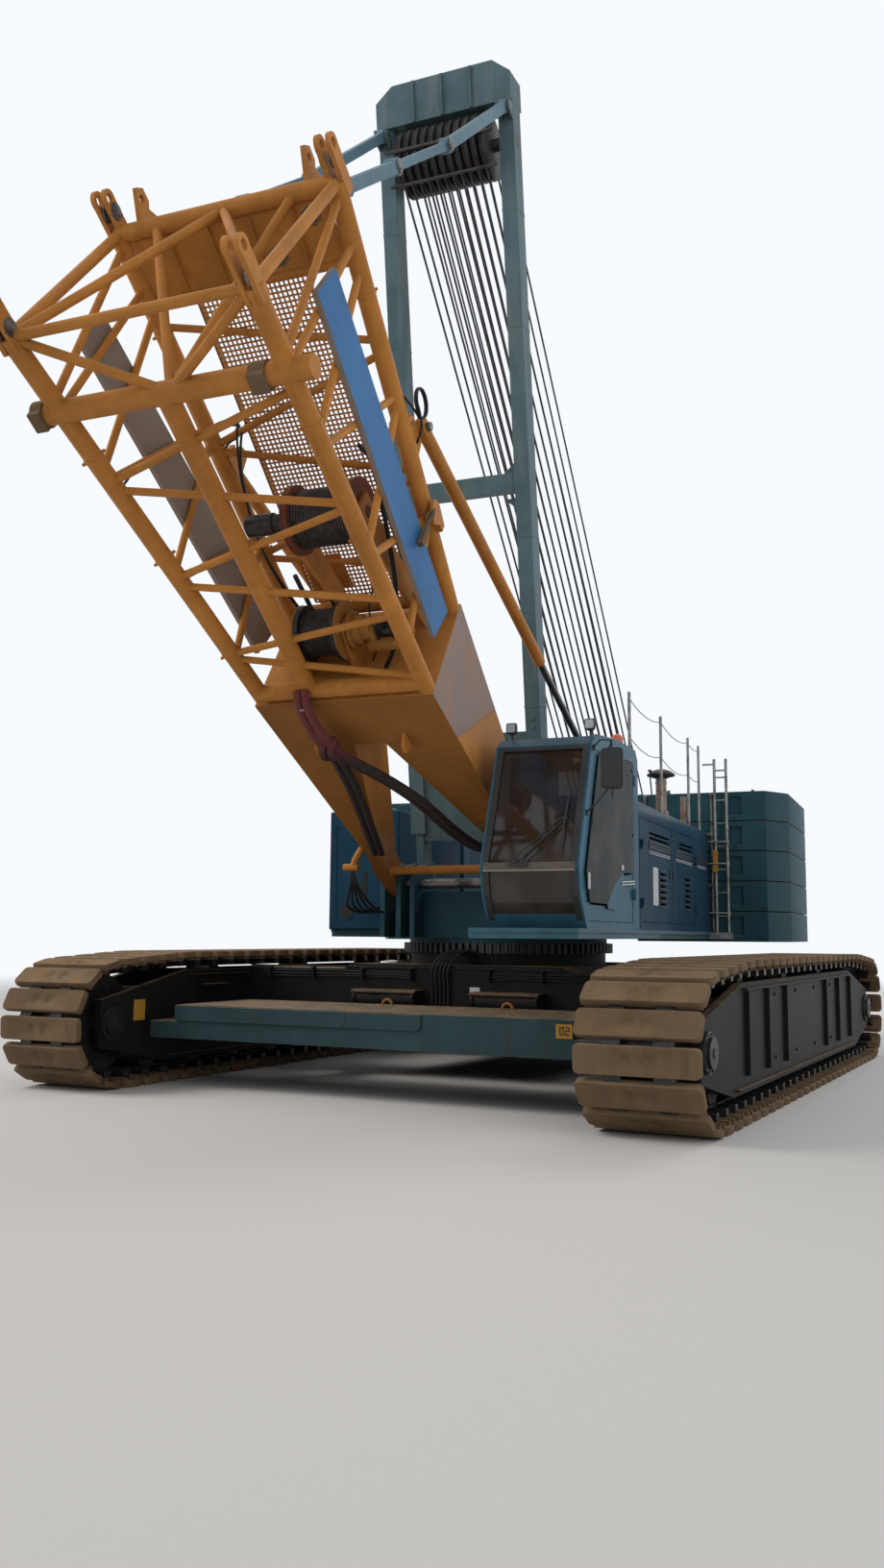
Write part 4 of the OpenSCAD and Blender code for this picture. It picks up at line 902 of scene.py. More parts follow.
class CRANE_OT_tracks(bpy.types.Operator):
    """Builds both tracks from single dimpled shoes on their chain links"""
    bl_idname = "crane.tracks"
    bl_label = "Tracks"

    def execute(self, context):
        seats = list(shoe_seats(context.scene.crane_sizes.shoe_gap))
        corners, faces = shoe_template(seats[0][2])
        for name, side in (("left", 1), ("right", -1)):
            pads, chain = Shape(), Shape()
            for middle, along, long in seats:
                out = Vector((along.y, -along.x))
                seat, half = middle - out * INWARDS, long / 2
                pads.place = chain.place = Matrix(((1, 0, 0, side * GAUGE / 2), (0, along.x, out.x, seat.x),
                                                   (0, along.y, out.y, seat.y), (0, 0, 0, 1)))
                pads.add(corners, faces)
                pads.block((-0.56, -half + 0.02, -0.05), (0.56, -half + 0.06, -0.011))
                pads.block((-0.56, half - 0.06, -0.05), (0.56, half - 0.02, -0.011))
                for x in (-0.235, 0.235):
                    chain.block((x - 0.05, -half - 0.03, -0.135), (x + 0.05, half + 0.03, -0.012))
                    chain.block((x - 0.085, half - 0.03, -0.11), (x + 0.085, half + 0.07, 0.012))
                for low, high, inset, depth in ((-0.47, -0.3, 0.09, 0.125), (0.3, 0.47, 0.09, 0.125),
                                                (-0.19, 0.19, 0.05, 0.1)):
                    chain.block((low, -half + inset, -depth), (high, half - inset, -0.012))
            make("track_pads_" + name, pads, "shoe", stands_for=("track_" + name,))
            make("track_chain_" + name, chain, "grease", bevel=0.006)
        return {"FINISHED"}


# Ropes

STRANDS = range(-5, 6)
HEAD_SHEAVES = (0, 0, 9.53)
HEAD_PITCH, TAIL_PITCH = 0.115, 0.11


def rope_loop(x_head, x_tail):
    """Rope once round a head sheave and a tail sheave, in the deck's frame. Its two runs have no point
    between the sheaves."""
    # Each sheave as y, z and the radius of the rope on it
    head, tail = (-2.409, 12.033, 0.402), (6.05, 4.15, 0.312)
    d = Vector((tail[0] - head[0], tail[1] - head[1]))
    lean, dip = degrees(atan2(d.y, d.x)), degrees(acos((head[2] - tail[2]) / d.length))
    return ([(x_head, *p) for p in arc(head[:2], head[2], lean + dip, lean + 360 - dip, 14)]
            + [(x_tail, *p) for p in arc(tail[:2], tail[2], lean + 360 - dip, lean + 360 + dip, 12)])


class CRANE_OT_hoist_ropes(bpy.types.Operator):
    """Reeves the boom hoist ropes between the A-frame's head and the tail block"""
    bl_idname = "crane.hoist_ropes"
    bl_label = "Boom hoist ropes"

    def execute(self, context):
        ropes = Shape(("superstructure", "gantry", DECK @ Vector((0, 5.8, 4.38)),
                       DECK @ Vector((0, -2.1, 11.75))))
        sheaves = Shape("gantry").lathe((-0.94, *HEAD_SHEAVES[1:]), X, [(0, 0.08), (1.88, 0.08)])
        groove = [(-0.045, 0.16), (-0.045, 0.36), (-0.03, 0.42), (-0.022, 0.42), (-0.012, 0.386)]
        groove += [(-h, r) for h, r in groove[::-1]]
        for i in STRANDS:
            ropes.tube(rope_loop(i * HEAD_PITCH, i * TAIL_PITCH), context.scene.crane_sizes.rope_radius,
                       6, True)
            sheaves.lathe((i * HEAD_PITCH, *HEAD_SHEAVES[1:]), X, groove, 36)
        make("hoist_ropes", ropes, "rope")
        make("head_sheaves", sheaves, "sheave", stands_for=("gantry_sheaves",))
        return {"FINISHED"}


# Boom

class CRANE_OT_walkway(bpy.types.Operator):
    """Builds the perforated walkway and the closed head plate on top of the boom"""
    bl_idname = "crane.walkway"
    bl_label = "Boom walkway"

    def execute(self, context):
        sizes = context.scene.crane_sizes
        plate, grid = Shape("boom"), Shape("boom")
        near, far = 7.8303, 8.3497
        half = chord_x(near) - 0.0886
        plate.prism(strip((-near, chord_z(near, 1)), (-far, chord_z(far, 1)), -0.008, 0.008), -half, half)
        for x in (-0.62, -0.2, 0.22, 0.64):
            plate.prism(strip((-near - 0.01, chord_z(near, 1)), (-far + 0.01, chord_z(far, 1)),
                              -0.008, -0.05), x, x + 0.01)
        make("boom_head_plate", plate, "boom")
        first, last, left, right = 4.38, 7.74, -0.61, 0.55
        bar = sizes.mesh_bar / 2

        def level(u):
            return chord_z(u, 1) + 0.0367
        ends = (-first, level(first)), (-last, level(last))
        count = int((right - left) / sizes.mesh_pitch)
        for i in range(count + 1):
            x = left + (right - left) * i / count
            grid.prism(strip(*ends, 0, 0.007), x - bar, x + bar)
        tilt = Matrix.Rotation(-atan2(0.62 / (HEAD - BOX_END), 1), 3, "X")
        count = int((last - first) / sizes.mesh_pitch)
        for i in range(count + 1):
            u = first + (last - first) * i / count
            z = level(u) + 0.0035
            grid.block((left, -u - bar, z - 0.003), (right, -u + bar, z + 0.003), tilt)
        for x in (left, right):
            grid.prism(strip(*ends, 0, 0.05), x - 0.01, x + 0.01)
        make("boom_walkway_mesh", grid, "boom", stands_for=("boom_walkway",))
        return {"FINISHED"}


# Cab

CAB_LEFT, CAB_RIGHT = 1.28, 2.33
PANE_LEFT, PANE_RIGHT = 1.352, 2.258
CAB_LAMP_Z = 4.055
SEAT_X = 1.805
PILLAR = 0.026


def screen(share, out):
    """Point (y, z) on the cab's leaning windscreen: share goes from its lower edge to its upper one"""
    return -4.7 + 0.53 * share - 0.925 * out, 2.54 + 1.29 * share + 0.38 * out


class CRANE_OT_cab_trim(bpy.types.Operator):
    """Adds the borders of the cab's glass, the sill and its painted highlight, the wipers and the roof's
    plate and rails
    """
    bl_idname = "crane.cab_trim"
    bl_label = "Cab trim"

    def execute(self, context):
        border, sill, wipers, roof = (Shape("superstructure") for _ in range(4))
        left, right = CAB_LEFT + PILLAR, CAB_RIGHT - PILLAR
        for a, b in ((left, PANE_LEFT + 0.02), (PANE_RIGHT - 0.02, right)):
            slab(border, a, b, screen(0.0, 0.001), screen(0.985, 0.001), 0.004)
            slab(border, a, b, (-4.401 - 0.068, 1.985), (-4.632, 2.232), 0.004)
            slab(border, a, b, (-4.632, 2.232), (-4.695, 2.49), 0.004)
        slab(border, left, right, screen(0.955, 0.001), screen(0.99, 0.001), 0.005)
        make("cab_glass_borders", border, "plastic")
        left, right = CAB_LEFT + 0.04, CAB_RIGHT - 0.04
        slab(sill, left, right, (-4.697, 2.478), screen(0.018, 0.004), 0.008)
        make("windscreen_sill", sill, "sill", bevel=0.003)
        # A pale strip along the sill's lower front edge: a painted highlight
        make("sill_highlight_strip", Shape("superstructure").tube([(x, -4.712, 2.482) for x in (left, right)], 0.008),
             "cream")
        for foot, head in ((1.66, 2.09), (1.74, 2.15)):
            wipers.tube([(foot, *screen(0.02, 0.035)), (foot + 0.02, *screen(0.05, 0.05)),
                         (head, *screen(0.36, 0.03))], 0.0085)
            wipers.lathe((foot, *screen(0.015, 0.0)), (0, -0.925, 0.38), [(0, 0.026), (0.04, 0.026),
                                                                         (0.05, 0.014)], 16)
        for points in ([(2.13, 0.07, 0.022), (2.135, 0.3, 0.03), (2.15, 0.54, 0.022)],
                       [(2.1, 0.36, 0.035), (2.17, 0.35, 0.035)]):
            wipers.tube([(x, *screen(share, out)) for x, share, out in points], 0.011)
        wipers.block((1.6, -4.735, 2.525), (1.8, -4.702, 2.56))
        make("wipers", wipers, "plastic", bevel=0.002)
        roof.block((1.4, -2.9, 4.032), (2.22, -2.16, 4.045))
        for x in (CAB_LEFT + 0.03, CAB_RIGHT - 0.03):
            roof.tube([(x, -2.2, 4.01), (x, -2.96, 4.035), (x, -3.9, 3.955)], 0.014)
        make("cab_roof_trim", roof, "cab", bevel=0.004)
        return {"FINISHED"}


class CRANE_OT_cab_door_trim(bpy.types.Operator):
    """Adds the pane, the seal, the corner plate and the handles of the cab's door"""
    bl_idname = "crane.cab_door_trim"
    bl_label = "Cab door trim"

    def execute(self, context):
        door, seal, corner, pane = (Shape("cab_door") for _ in range(4))
        for z in (2.4, 2.432):
            door.tube([(2.35, -3.0, z - 0.01), (2.366, -2.98, z), (2.366, -2.44, z + 0.03),
                       (2.35, -2.42, z + 0.03)], 0.008)
        door.prism(rounded((-4.455, 2.3), (-4.425, 2.47), 0.012), 2.352, 2.372)
        door.prism(rounded((-3.03, 2.56), (-2.97, 2.62), 0.012), 2.352, 2.368)
        make("door_handles", door, "white", "cab_plastic", bevel=0.003)
        outer = [(-2.385, 2.56), (-2.385, 3.85), (-3.955, 3.755), (-4.5, 2.475), (-4.37, 2.17),
                 (-3.64, 2.17), (-3.33, 2.38), (-2.96, 2.53)]
        inner = [(-2.425, 2.61), (-2.425, 3.805), (-3.915, 3.71), (-4.445, 2.5), (-4.32, 2.215),
                 (-3.69, 2.215), (-3.39, 2.43), (-2.99, 2.575)]
        ring_plate(seal, outer, inner, 2.3465, 0.004)
        for y, z in ((-3.86, 3.7), (-4.25, 3.0), (-2.44, 3.75), (-2.44, 3.0)):
            seal.lathe((2.354, y, z), X, [(0, 0.022), (0.008, 0.02), (0.012, 0.008)], 12)
        make("door_glass_seal", seal, "plastic")
        corner.prism([(-3.6, 2.12), (-3.2, 2.12), (-2.9, 2.45), (-2.9, 2.56), (-3.0, 2.54), (-3.34, 2.39),
                      (-3.66, 2.17)], 2.3462, 2.3485)
        make("door_corner", corner, "cab")
        pane.prism(outer, 2.3505, 2.3535)
        make("door_pane", pane, "door_glass", stands_for=("door_glass",))
        return {"FINISHED"}


class CRANE_OT_mirror_and_lamps(bpy.types.Operator):
    """Builds the mirror on its arms, the work lamps and the amber beacon"""
    bl_idname = "crane.mirror_and_lamps"
    bl_label = "Mirror and lamps"

    def execute(self, context):
        mirror, lamps, lenses, dome = (Shape("superstructure") for _ in range(4))
        for inset, back, front in ((0.0, -4.485, -4.515), (0.014, -4.515, -4.53)):
            mirror.prism(rounded((2.51 + inset, 3.3 + inset), (2.74 - inset, 3.72 - inset), 0.045),
                         back, front, in_front)
        for points, radius in (
                ([(2.33, -4.11, 3.79), (2.45, -4.3, 3.84), (2.6, -4.48, 3.8), (2.62, -4.5, 3.7)], 0.009),
                ([(2.33, -4.42, 3.08), (2.46, -4.47, 3.17), (2.6, -4.5, 3.33)], 0.009),
                ([(2.6, -4.48, 3.8), (2.5, -4.0, 3.84), (2.345, -3.7, 3.8)], 0.007),
                ([(2.62, -4.492, 3.8), (2.625, -4.492, 3.2)], 0.011)):
            mirror.tube(points, radius)
        for y, z in ((-4.11, 3.79), (-4.4, 3.08)):
            mirror.block((2.329, y - 0.022, z - 0.03), (2.35, y + 0.022, z + 0.03))
        make("mirror_on_arms", mirror, "plastic", stands_for=("mirror",), bevel=0.004)

        def square(shape, x, half, low, high, corner=0.02):
            shape.prism(rounded((x - half, CAB_LAMP_Z - half), (x + half, CAB_LAMP_Z + half), corner),
                        low, high, in_front)
        for x in (1.4, 2.27):
            lamps.tube([(x, -3.99, 3.93), (x, -3.99, 4.03)], 0.013, 10)
            lamps.box((x, -3.99), 0.03, 0.03, 3.99, 4.01)
            square(lamps, x, 0.045, -4.0, -3.955)
            square(lamps, x, 0.058, -4.04, -4.0)
            square(lamps, x, 0.056, -4.05, -4.04)
            square(lenses, x, 0.046, -4.054, -4.049, 0.016)
        beacon = (2.18, -2.46)
        lamps.lathe((*beacon, 4.03), Z, [(0, 0.07), (0.03, 0.07), (0.036, 0.05), (0.055, 0.05)], 20)
        make("work_lamps", lamps, "plastic", "lamp_body", ("cab_lamps",), bevel=0.003)
        make("lamp_lenses", lenses, "lens", bevel=0.002)
        bulge = [(0.05 + 0.06 * sin(radians(a)), 0.07 * cos(radians(a)) + 0.001) for a in range(0, 90, 15)]
        dome.lathe((*beacon, 4.082), Z, [(0, 0.072)] + bulge + [(0.111, 0.004)])
        make("beacon", dome, "amber")
        return {"FINISHED"}


def cushion(low, high, channels, thick):
    """Corners and faces of a stuffed pad: crowned faces, sides that pull in, sewn channels across
    its first axis. thick is the axis that it is thinnest along."""
    crown, channel_depth, channel_width = 0.35, 0.3, 0.07
    low, high = Vector(low), Vector(high)
    solid = bmesh.new()
    bmesh.ops.create_cube(solid, size=2)
    bmesh.ops.subdivide_edges(solid, edges=solid.edges[:], cuts=14, use_grid_fill=True)
    flat = [i for i in range(3) if i != thick]
    for v in solid.verts:
        c = v.co.copy()
        share = sum(abs(q) ** 5 for q in c) ** (1 / 5)
        c = c / share
        dome = (1 - c[flat[0]] ** 4) * (1 - c[flat[1]] ** 4)
        c[thick] *= 1 - crown + crown * dome
        for k in flat:
            c[k] *= 0.965 + 0.035 * abs(c[flat[0] + flat[1] - k]) ** 3
        for place in channels:
            c[thick] *= 1 - channel_depth * 2.7 ** (-((c[flat[1]] - place) / channel_width) ** 2)
        v.co = [low[k] + (high[k] - low[k]) * (c[k] * 0.5 + 0.5) for k in range(3)]
    return taken(solid)


class CRANE_OT_seat(bpy.types.Operator):
    """Builds the operator's seat from stuffed pads on its pedestal, and the console's levers"""
    bl_idname = "crane.seat"
    bl_label = "Seat"

    def execute(self, context):
        for name, low, high, channels, thick in [
                ("seat_cushion", (1.565, -3.35, 2.305), (2.045, -2.9, 2.435), (-0.4, 0.25), 2),
                ("seat_back", (1.575, -2.93, 2.43), (2.035, -2.81, 3.0), (-0.5, 0.0, 0.5), 1),
                ("seat_headrest", (1.68, -2.92, 3.01), (1.93, -2.82, 3.13), (), 1)]:
            pad = Shape("superstructure").add(*cushion(low, high, channels, thick))
            make(name, pad, "seat", smooth=80)
        base, knobs = Shape("superstructure"), Shape("superstructure")
        base.block((1.57, -3.33, 2.285), (2.03, -2.84, 2.305))
        base.block((1.66, -3.2, 1.965), (1.94, -2.92, 1.99))
        post = (1.8, -3.06)
        base.lathe((*post, 1.985), Z, [(0, 0.11), (0.1, 0.11), (0.12, 0.07), (0.24, 0.07), (0.3, 0.15)])
        for z in (2.0, 2.05, 2.1):
            base.lathe((*post, z), Z, [(0, 0.11), (0.025, 0.13), (0.05, 0.11)])
        base.block((1.7, -2.845, 2.3), (1.9, -2.805, 2.9))
        for x in (1.545, 2.055):
            base.block((x - 0.02, -3.2, 2.53), (x + 0.02, -2.88, 2.56))
            base.block((x - 0.012, -2.9, 2.4), (x + 0.012, -2.86, 2.55))
        make("seat_base", base, "plastic", stands_for=("operator_seat",), bevel=0.006)
        for x in (SEAT_X - 0.36, SEAT_X + 0.36):
            knobs.lathe((x, -3.46, 2.58), Z, [(0, 0.05), (0.02, 0.046), (0.035, 0.03), (0.05, 0.034),
                                              (0.065, 0.022)], 18)
            knobs.lathe((x, -3.46, 2.72), Z, [(0, 0.02), (0.03, 0.03), (0.07, 0.028), (0.085, 0.012)], 18)
            knobs.block((x - 0.05, -3.2, 2.579), (x + 0.05, -2.9, 2.6))
        knobs.tube([(2.17, -4.2, 1.98), (2.17, -4.2, 2.6), (2.12, -4.16, 2.9)], 0.014)
        knobs.block((2.0, -4.2, 2.88), (2.22, -4.15, 3.05))
        knobs.block((1.5, -4.3, 2.58), (1.68, -4.15, 2.68))
        knobs.tube([(1.59, -4.2, 1.98), (1.59, -4.22, 2.6)], 0.014)
        for x in (1.7, 1.9):
            knobs.block((x - 0.04, -4.25, 2.0), (x + 0.04, -4.08, 2.02))
            knobs.tube([(x, -4.12, 1.98), (x, -4.2, 2.03), (x, -4.2, 2.3)], 0.01)
        make("cab_controls", knobs, "plastic", bevel=0.004)
        return {"FINISHED"}


# House, ladder, counterweight and deck

# Half widths over the walls, the seams and the slats
WALL, SEAM, SLAT = 2.2985, 2.304, 2.312


def slats(shape, out, low, high, rise, count, spots):
    """Rows of sloping slats on the wall of the side out, the first at the height low. Each slat is high
    and stands a rise above the last; a spot is a row's (y, length)."""
    for y, wide in spots:
        for k in range(count):
            z = low + rise * k
            shape.prism([(out * WALL, z), (out * SLAT, z - 0.006), (out * SLAT, z + 0.002),
                         (out * WALL, z + high)], y, y + wide, in_front)


class CRANE_OT_house_trim(bpy.types.Operator):
    """Adds the vent grilles, the pale marks, the latches, the seams, a black disc and slot painted as the
    shade inside openings, and the roof rails of the engine house"""
    bl_idname = "crane.house_trim"
    bl_label = "House trim"

    def execute(self, context):
        for name, body, (near, far), louvres, latch in [
                ("front", "house_door_front", (-1.32, -0.04), (-0.72, -0.28), -0.05),
                ("rear", "house_door_rear", (0.34, 1.53), (0.98, 1.42), 0.22),
                ("fixed", "superstructure", (1.98, 2.7), None, 0)]:
            grille, light = Shape(body), Shape(body)
            for z in (2.925, 2.959, 2.993):
                grille.block((2.299, near, z), (2.306, far, z + 0.022))
            for y in (near, far):
                grille.block((2.299, y - 0.012, 2.91), (2.308, y + 0.012, 3.03))
            if louvres:
                slats(grille, 1, 2.205, 0.012, 0.077, 7, [(louvres[0], louvres[1] - louvres[0])])
                grille.prism(rounded((latch - 0.04, 2.6), (latch + 0.02, 2.72), 0.02), WALL, SLAT)
            make("house_door_grille_" + name, grille, "plastic", "blue_paint", bevel=0.002)
            for z in (2.858, 2.882):
                light.block((WALL, near, z), (SEAM, far, z + 0.008))
            if name == "front":
                light.prism(rounded((-1.12, 2.22), (-0.82, 2.7), 0.02), WALL, 2.301)
            make("house_door_marks_" + name, light, "white")
        seams, opening, rails = (Shape("superstructure") for _ in range(3))
        for y in (-1.88, 0.085, 1.83, 2.78):
            seams.block((WALL, y - 0.006, 1.93), (SEAM, y + 0.006, 3.28))
        for x in (-1.2, 1.2):
            seams.block((x - 0.01, 2.83, 1.95), (x + 0.01, 2.842, 3.3))
        for y in (-0.45, 0.5, 1.4, 2.3):
            seams.block((-SEAM, y - 0.006, 1.93), (-WALL, y + 0.006, 3.3))
        slats(seams, -1, 2.3, 0.014, 0.07, 8, [(y, 0.55) for y in (-0.3, 0.65, 1.55)])
        # Black disc and slot on the front wall: painted shade inside an opening
        hole = (-2.02, -1.0, 2.15)
        opening.lathe(hole, (0, -1, 0), [(-0.01, 0.1), (0.0145, 0.1)], 28)
        opening.prism(rounded((-1.8, 2.3), (-1.72, 2.7), 0.02), -1.006, -0.995, in_front)
        make("machinery_opening_shade", opening, "black", "blue_paint")
        seams.lathe(hole, (0, -1, 0), [(-0.005, 0.125), (0.008, 0.125), (0.012, 0.1)], 28)
        for x in (-2.2, -1.4):
            seams.block((x - 0.008, -1.008, 2.0), (x + 0.008, -0.998, 3.35))
        make("house_seams", seams, "house", bevel=0.0015)
        for x, y in ((-1.7, -0.9), (-1.7, 0.4), (-1.7, 1.7), (1.7, 0.4), (1.7, 1.7)):
            rails.tube([(x, y, 3.53), (x, y, 3.64), (x, y + 0.8, 3.64), (x, y + 0.8, 3.53)], 0.014)
        make("roof_rails", rails, "zinc")
        return {"FINISHED"}


class CRANE_OT_intake(bpy.types.Operator):
    """Builds the engine's air intake with its pre-cleaner cap, and the exhaust"""
    bl_idname = "crane.intake"
    bl_label = "Intake and exhaust"

    def execute(self, context):
        pipe, cap = Shape("superstructure"), Shape("superstructure")
        x, y = 2.08, 0.5
        pipe.lathe((x, y, 3.36), Z, [(0, 0.1), (0.2, 0.1), (0.205, 0.074), (0.68, 0.074)], 28)
        pipe.lathe((1.97, 2.7, 3.4), Z, [(0, 0.075), (0.12, 0.075), (0.125, 0.05), (0.5, 0.05), (0.6, 0.05)])
        for z in (3.75, 3.95):
            pipe.lathe((x, y, z), Z, [(0, 0.074), (0.001, 0.08), (0.024, 0.08), (0.025, 0.074)], 28)
        cap.lathe((x, y, 4.02), Z, [(0, 0.08), (0.02, 0.13), (0.03, 0.18), (0.045, 0.19), (0.06, 0.19),
                                    (0.07, 0.175), (0.1, 0.14), (0.125, 0.07), (0.13, 0.02)], 36)
        for a in turns(18):
            cap.lathe((x + 0.187 * cos(a), y + 0.187 * sin(a), 4.055), Z, [(0, 0.008), (0.03, 0.008)], 6)
        cap.tube([(1.99, 0.36, 3.62), (1.96, 0.34, 4.06), (1.96, 0.34, 4.12)], 0.011)
        cap.lathe((1.96, 0.34, 4.1), Z, [(0, 0.012), (0.005, 0.03), (0.02, 0.03), (0.035, 0.01)], 14)
        make("intake_and_exhaust", pipe, "pipe", stands_for=("intake_pipes",))
        make("intake_cap", cap, "plastic", "pipe_paint")
        return {"FINISHED"}


class CRANE_OT_ladder_trim(bpy.types.Operator):
    """Adds the clamps, the hooked handholds and the yellow catch of the rear ladder"""
    bl_idname = "crane.ladder_trim"
    bl_label = "Ladder trim"

    def execute(self, context):
        clamps, catch = Shape("superstructure"), Shape("superstructure")
        y = 2.91
        for x in (2.42, 2.6):
            for z in (3.3, 2.96, 2.2):
                clamps.lathe((x, y, z - 0.03), Z, [(0, 0.034), (0.06, 0.034)], 12)
                clamps.tube([(x, y, z), (x - 0.04, 2.86, z), (2.32, 2.84, z)], 0.012)
            clamps.lathe((x, y, 3.48), Z, [(0, 0.026), (0.02, 0.03), (0.05, 0.03), (0.07, 0.026)], 12)
        clamps.tube([(2.24, y, 4.52), (2.42, y, 4.52)], 0.014)
        clamps.tube([(2.6, y, 4.36), (2.58, y, 4.42), (2.44, y, 4.42)], 0.014)
        make("ladder_clamps", clamps, "zinc")
        catch.block((2.38, 2.87, 2.83), (2.45, 2.95, 3.17))
        make("ladder_catch", catch, "yellow", "rail_steel", bevel=0.006)
        return {"FINISHED"}


class CRANE_OT_counterweight_trim(bpy.types.Operator):
    """Adds lifting ears, tie rods and cross bars to both counterweight stacks"""
    bl_idname = "crane.counterweight_trim"
    bl_label = "Counterweight trim"

    def execute(self, context):
        ears, rods = Shape("superstructure"), Shape("superstructure")
        rod_y, rod_radius = 2.985, 0.022
        for side in BOTH:
            for x, y in ((1.6, 3.4), (2.9, 3.7), (1.6, 5.7), (2.9, 5.6)):
                outline = arc((y, 4.12), 0.075, 0, 180, 8) + [(y - 0.075, 4.07), (y + 0.075, 4.07)]
                ears.prism(outline, side * x - 0.02, side * x + 0.02)
            for x in (1.3, 2.35):
                rods.tube([(side * x, rod_y, z) for z in (1.8, 4.06)], rod_radius, 10)
                rods.lathe((side * x, rod_y, 4.03), Z, [(0, 0.04), (0.04, 0.04)], 6)
            for z in (2.6, 3.4):
                rods.block((side * 1.82 - 0.62, 2.965, z), (side * 1.82 + 0.62, 2.99, z + 0.05))
        make("counterweight_ears", ears, "weight", bevel=0.004)
        make("counterweight_rods", rods, "steel", bevel=0.003)
        return {"FINISHED"}


class CRANE_OT_deck_trim(bpy.types.Operator):
    """Adds the edge strips and the treads of the deck, and the caps of the boom's foot pins"""
    bl_idname = "crane.deck_trim"
    bl_label = "Deck trim"

    def execute(self, context):
        edge, caps = Shape("superstructure"), Shape("superstructure")
        low, high = 1.862, 1.905
        edge.block((1.2, -4.772, low), (2.342, -4.755, high))
        edge.block((2.325, -4.77, low), (2.342, 2.95, high))
        edge.block((-2.315, -0.9, low), (-2.295, 2.95, high))
        for k in range(9):
            y = -4.6 + 0.28 * k
            edge.block((1.25, y, 1.9), (1.27, y + 0.2, 1.906))
        for side in BOTH:
            caps.lathe((side * 1.19, *BOOM_PIN[1:]), (side, 0, 0), [(-0.004, 0.1), (0.014, 0.1),
                                                                   (0.02, 0.085)])
            caps.bolt_circle((side * 1.202, *BOOM_PIN[1:]), side, 0.07, 4, 0.012, 0.01)
        make("platform_edge", edge, "lip", bevel=0.003)
        make("foot_pin_caps", caps, "steel", bevel=0.002)
        return {"FINISHED"}


# A-frame and pendants

LEG_X = 0.838
PENDANT_X = 0.85


class CRANE_OT_mast_trim(bpy.types.Operator):
    """Adds flanges, stiffeners and sheave guards to the A-frame"""
    bl_idname = "crane.mast_trim"
    bl_label = "A-frame trim"

    def execute(self, context):
        trim, guards = Shape("gantry"), Shape("gantry")
        for side in BOTH:
            for z in (2.2, 4.4, 7.1, 8.6):
                trim.box((side * LEG_X, 0), 0.106, 0.154, z, z + 0.03)
            for z, corner in ((4.94, -0.16), (5.27, 0.16)):
                trim.prism([(side * 0.735, z), (side * 0.55, z), (side * 0.735, z + corner)], -0.02, 0.02,
                           in_front)
            for y in (-0.152, 0.152):
                trim.bolts([(side * LEG_X, y, z) for z in (1.95, 2.05, 9.7, 9.82)], (0, y, 0), 0.02, 0.014)
        make("mast_flanges", trim, "mast", bevel=0.004)
        for z, y in ((9.97, 0.0), (9.53, -0.441), (9.53, 0.441), (9.15, -0.294)):
            guards.tube([(-0.735, y, z), (0.735, y, z)], 0.022, 10)
        make("rope_guards", guards, "sheave")
        return {"FINISHED"}


class CRANE_OT_pendant_pins(bpy.types.Operator):
    """Adds the pins and lock plates at the joints of the pendants"""
    bl_idname = "crane.pendant_pins"
    bl_label = "Pendant pins"

    def execute(self, context):
        pins = Shape("pendants")
        for side in BOTH:
            x = side * PENDANT_X
            for y, z, half, radius in ((-2.705, 12.333, 0.09, 0.05), (-4.689, 10.547, 0.085, 0.045),
                                       (-6.109, 9.42, 0.095, 0.045), (-7.529, 8.294, 0.1, 0.045)):
                pins.lathe((x - half, y, z), X, [(0, radius * 0.8), (0.008, radius),
                                                 (2 * half - 0.008, radius), (2 * half, radius * 0.8)], 20)
                for s in BOTH:
                    pins.lathe((x + s * (half - 0.016), y, z), X, [(-0.005, radius * 1.5),
                                                                   (0.005, radius * 1.5)], 20)
        make("pendant_pins", pins, "steel", bevel=0.002)
        return {"FINISHED"}


# Boom fittings

# Axes of the two drums as (y, z), and the tie tube's distance up the boom
UPPER_DRUM, LOWER_DRUM = (-5.8, 0.08), (-4.56, -0.17)
TIE = 7.89


